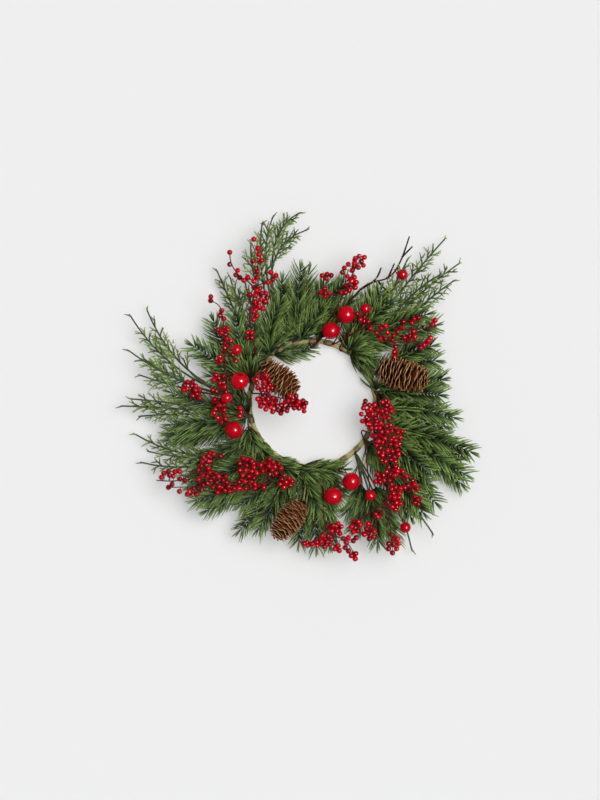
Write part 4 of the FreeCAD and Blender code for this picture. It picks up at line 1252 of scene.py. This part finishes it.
def paper_strand(number, phase, finish):
    """Dress one paper strand: creased, pressed round the wire, and wound along it."""
    hoop = settings().hoop
    chance = seeded("strands", number)
    inner = hoop.wire_diameter / 2 + hoop.strand_clearance
    outer = ring_half() * STRAND_PRESS_SHARE
    margin = hoop.strand_end_gap / hoop.ring_radius / 2
    creases = [chance.uniform(-1, 1) for crease in range(STRAND_SIDES)]
    shell = Shell()
    rings = []
    for station in range(STRAND_STATIONS + 1):
        angle = margin + (2 * math.pi - 2 * margin) * station / STRAND_STATIONS
        radial = level_way(angle)
        middle = radial * hoop.ring_radius + UP * ring_height()
        swing = phase + hoop.strand_turns * angle
        ring = []
        for side in range(STRAND_SIDES):
            share = side / (STRAND_SIDES - 1)
            crease = creases[(side + station // CREASE_STATIONS) % STRAND_SIDES]
            fold = 0.5 * math.sin(share * 17 + angle * 40) + 0.5 * crease
            bulge = 0.9 + 0.1 * math.sin(share * math.pi) ** 0.5 + 0.035 * fold
            out = swung(radial, UP, swing + STRAND_OUTER_REACH * (2 * share - 1))
            # The fold is also the tone: painted shade where the paper creases in, lighter where it bulges out
            ring.append(shell.add(above_floor(middle + out * (outer * bulge)), (0.5 + 0.5 * fold, 0.0, 0.0)))
        # Corners pressed against the wire take tone 0, painted shade
        for share in (1.0, 0.5, 0.0):
            out = swung(radial, UP, swing + STRAND_INNER_REACH * (2 * share - 1))
            ring.append(shell.add(middle + out * inner, (0.0, 0.0, 0.0)))
        rings.append(ring)
    shell.close_flat(rings, (0.2, 0.0, 0.0))
    shell.piece("paper_strand_%d" % number, finish, "ring_paper", "ring_strand_%d" % number)


def tape_wrap(shell, chance, angle):
    """Add one wrapped tape: slanting turns, one over the other, flat where it stands."""
    hoop = settings().hoop
    stations, sides = 16, 28
    half_height = (tang_height() + hoop.tang_side / 2 + hoop.seat_gap + hoop.tape_thickness) / 2
    rings = []
    for station in range(stations + 1):
        share = station / stations
        turn = angle + hoop.tape_width * (share - 0.5) / hoop.ring_radius
        ring = []
        for side in range(sides):
            around = 2 * math.pi * side / sides
            step = (share * TAPE_TURNS + side / sides) % 1.0
            swell = 1 + 0.06 * (1 - step) - 0.10 * (2 * share - 1) ** 6 + chance.uniform(-0.008, 0.008)
            height = max(0.0, half_height + half_height * min(1.02, swell) * math.sin(around))
            radius = hoop.ring_radius + ring_half() * 0.9 * swell * math.cos(around)
            place = Vector((radius * math.cos(turn), radius * math.sin(turn), height))
            # The tone falls from each turn's raised edge to where the next turn lies over it: painted shade
            # under the overlap
            ring.append(shell.add(place, (1 - step, 0.0, 0.0)))
        rings.append(ring)
    shell.close_flat(rings, (0.0, 0.0, 0.0))


class CANDLERING_OT_hoop(bpy.types.Operator):
    """Dress the wire hoop and wind its two paper strands"""

    bl_idname = "candle_ring.hoop"
    bl_label = "Hoop"

    def execute(self, context):
        hoop = settings().hoop
        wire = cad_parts["ring_wire"]
        wire.data.materials.clear()
        wire.data.materials.append(steel_finish(hoop.steel))
        finish = paper_finish("twisted_paper", hoop.paper, hoop.paper_crease_shade)
        paper_strand(1, 0.0, finish)
        paper_strand(2, math.pi, finish)
        return {"FINISHED"}


class CANDLERING_OT_tape(bpy.types.Operator):
    """Wrap the binding tapes round the ring and the feet of the stems"""

    bl_idname = "candle_ring.tape"
    bl_label = "Binding tape"

    def execute(self, context):
        hoop = settings().hoop
        chance = seeded("tapes")
        shell = Shell()
        for number in range(hoop.tape_count):
            tape_wrap(shell, chance, 2 * math.pi * number / hoop.tape_count)
        # The tape's darker colour is painted shade under each overlapping turn
        finish = paper_finish("floral_tape", hoop.tape, shaded(hoop.tape, 0.4))
        shell.piece("tape_wraps", finish, "tape", "binding_tape")
        return {"FINISHED"}


class CANDLERING_OT_fir(bpy.types.Operator):
    """Cover the fir branches with their needles"""

    bl_idname = "candle_ring.fir"
    bl_label = "Fir branches"

    def execute(self, context):
        sizes = settings().fir
        finish = foliage_finish("fir_needles", sizes, 0.5)
        for number, chance, shell, twigs in branches(FIR_BRANCHES, "fir", sizes.twig_width * 0.4):
            style = needle_style(number)
            for ends, bare_share in twigs:
                fir_twig(shell, chance, ends, bare_share * FIR_BARE_FACTOR, sizes, style)
            shell.piece("fir_sprig_%02d" % number, finish, "fir_needles", "fir_branch_%02d" % number)
        return {"FINISHED"}


class CANDLERING_OT_cedar(bpy.types.Operator):
    """Cover the cedar branches with their scale leaves"""

    bl_idname = "candle_ring.cedar"
    bl_label = "Cedar branches"

    def execute(self, context):
        sizes = settings().cedar
        finish = foliage_finish("cedar_leaves", sizes, 0.55)
        for number, chance, shell, twigs in branches(CEDAR_BRANCHES, "cedar", sizes.leaf_width * 0.55):
            for ends, bare_share in twigs:
                cedar_twig(shell, chance, ends, bare_share, sizes)
            shell.piece("cedar_sprig_%d" % number, finish, "cedar_leaves", "cedar_branch_%d" % number)
        return {"FINISHED"}


class CANDLERING_OT_berries(bpy.types.Operator):
    """Hang the small, medium and large berries on their stems"""

    bl_idname = "candle_ring.berries"
    bl_label = "Berries"

    def execute(self, context):
        sizes = settings().berry
        finishes = {"berry": berry_finish(sizes), "stem": bark_finish("berry_stem_wrap", sizes.stem)}
        for row in BERRY_SPRAYS:
            dress_spray(*row, finishes)
        wood = Shell()
        for name, places, diameter, dimple in (
            ("large_berries", LARGE_BERRIES, sizes.large_diameter, LARGE_DIMPLE_SHARE),
            ("medium_berries", MEDIUM_BERRIES, sizes.medium_diameter, MEDIUM_DIMPLE_SHARE),
        ):
            dress_single_berries(name, places, diameter, dimple, finishes, wood)
        wood.piece("berry_wire_stems", finishes["stem"], "berry_stems", "berry_wires")
        return {"FINISHED"}


class CANDLERING_OT_pinecones(bpy.types.Operator):
    """Set the scales of the pinecones in their spirals"""

    bl_idname = "candle_ring.pinecones"
    bl_label = "Pinecones"

    def execute(self, context):
        sizes = settings().cone
        finish = cone_finish(sizes)
        wires = Shell()
        for number, stalk, tip, heights, shares, tape, slot, leans in PINECONES:
            foot = spot(stalk, level(heights[0]))
            way = (spot(tip, level(heights[1])) - foot).normalized()
            length, diameter = sizes.length * shares[0], sizes.diameter * shares[1]
            dress_pinecone(number, foot, way, length, diameter, leans, finish)
            start, end = tang_run(tape, slot, foot)
            line = smooth_line([start, end, foot - way * (sizes.wire_diameter * 0.8)])
            stem_tube(wires, seeded("pinecone wires", number), line, sizes.wire_diameter)
        finish = bark_finish("cone_wire_wrap", settings().hoop.tape)
        wires.piece("pinecone_wire_stems", finish, "pinecone", "pinecone_wires")
        return {"FINISHED"}


class CANDLERING_OT_twig(bpy.types.Operator):
    """Bend the bare dark twig and its side twigs"""

    bl_idname = "candle_ring.twig"
    bl_label = "Bare twig"

    def execute(self, context):
        sizes = settings().berry
        chance = seeded("twig")
        shell = Shell()
        for line in spray_lines(TWIG_TAPE, TWIG_SLOT, level(TWIG_HEIGHT_SHARE), TWIG_STEMS):
            stem_tube(shell, chance, line, sizes.twig_diameter)
        shell.piece("dark_twig", bark_finish("bare_twig_bark", sizes.twig), "dark_twig", "bare_twig")
        return {"FINISHED"}


class CANDLERING_OT_stage(bpy.types.Operator):
    """Lay the floor, and set the lights and the camera"""

    bl_idname = "candle_ring.stage"
    bl_label = "Stage"

    def execute(self, context):
        stage = settings().stage
        self.lay_floor(stage)
        self.hang_sun("key", stage.key_strength, stage.key_softness, stage.key_tilt, stage.key_turn)
        sparkle = self.hang_sun("sparkle", stage.sparkle_strength, stage.sparkle_softness, stage.key_tilt, 0)
        sparkle.visible_diffuse = False
        self.light_world(stage)
        self.aim_camera(context, stage)
        context.scene.view_settings.view_transform = "Standard"
        return {"FINISHED"}

    def lay_floor(self, stage):
        """Lay a square floor under the ring."""
        half = stage.floor_side / 2
        mesh = bpy.data.meshes.new("floor")
        corners = [(-half, -half, 0), (half, -half, 0), (half, half, 0), (-half, half, 0)]
        mesh.from_pydata(corners, [], [(0, 1, 2, 3)])
        mesh.materials.append(floor_finish(stage.floor, stage.floor_glow))
        floor = bpy.data.objects.new("floor", mesh)
        bpy.context.scene.collection.objects.link(floor)
        floor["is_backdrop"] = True

    def hang_sun(self, name, strength, softness, tilt, turn):
        """Hang one light that comes from the right, and return it."""
        lamp = bpy.data.lights.new(name, "SUN")
        lamp.energy = strength
        lamp.angle = softness
        sun = bpy.data.objects.new(name, lamp)
        slant = Quaternion((0, 1, 0), tilt)
        sun.rotation_euler = (Quaternion((0, 0, 1), turn) @ slant).to_euler()
        bpy.context.scene.collection.objects.link(sun)
        return sun

    def light_world(self, stage):
        """Fill the shadows with an even pale sky."""
        world = bpy.data.worlds.new("sky")
        world.use_nodes = True
        background = world.node_tree.nodes["Background"]
        background.inputs["Color"].default_value = (1, 1, 1, 1)
        background.inputs["Strength"].default_value = stage.fill_strength
        bpy.context.scene.world = world

    def aim_camera(self, context, stage):
        """Aim a long lens straight down at the middle of the picture."""
        lens = bpy.data.cameras.new("camera")
        lens.sensor_fit = "VERTICAL"
        lens.lens = lens.sensor_height * stage.camera_distance / (PICTURE_SIZE_PIXELS[1] * picture_scale())
        camera = bpy.data.objects.new("camera", lens)
        camera.location = spot(PICTURE_MIDDLE_PIXELS, stage.camera_distance)
        context.scene.collection.objects.link(camera)
        context.scene.camera = camera


class CANDLERING_PT_sidebar(bpy.types.Panel):
    """The candle ring's pieces and sizes, in the sidebar"""

    bl_idname = "CANDLERING_PT_sidebar"
    bl_label = "Candle ring"
    bl_space_type = "VIEW_3D"
    bl_region_type = "UI"
    bl_category = "Candle ring"

    def draw(self, context):
        for operator in OPERATORS:
            self.layout.operator(operator.bl_idname)
        for name in ("hoop", "fir", "cedar", "berry", "cone", "stage"):
            group = getattr(context.scene.candle_ring, name)
            box = self.layout.box()
            box.label(text=name.capitalize())
            for field in group.bl_rna.properties:
                if field.identifier not in ("rna_type", "name"):
                    box.prop(group, field.identifier)


GROUPS = (
    HoopSettings, FirSettings, CedarSettings, BerrySettings, ConeSettings, StageSettings, CandleRingSettings,
)
OPERATORS = (
    CANDLERING_OT_stage, CANDLERING_OT_hoop, CANDLERING_OT_tape, CANDLERING_OT_fir, CANDLERING_OT_cedar,
    CANDLERING_OT_berries, CANDLERING_OT_pinecones, CANDLERING_OT_twig,
)


def register():
    """Make the candle ring's settings, operators and panel known."""
    for one in (*GROUPS, *OPERATORS, CANDLERING_PT_sidebar):
        bpy.utils.register_class(one)
    bpy.types.Scene.candle_ring = PointerProperty(type=CandleRingSettings)


def unregister():
    """Take them away again."""
    del bpy.types.Scene.candle_ring
    for one in reversed((*GROUPS, *OPERATORS, CANDLERING_PT_sidebar)):
        bpy.utils.unregister_class(one)


def plain(box):
    """Return a box as plain lists of numbers."""
    return [[float(value) for value in corner] for corner in box]


def main():
    """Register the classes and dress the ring."""
    register()
    for operator in OPERATORS:
        category, name = operator.bl_idname.split(".")
        getattr(getattr(bpy.ops, category), name)()
    {"cad": plain(CAD_BOX), "visual": plain(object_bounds())}


if __name__ == "__main__":
    main()
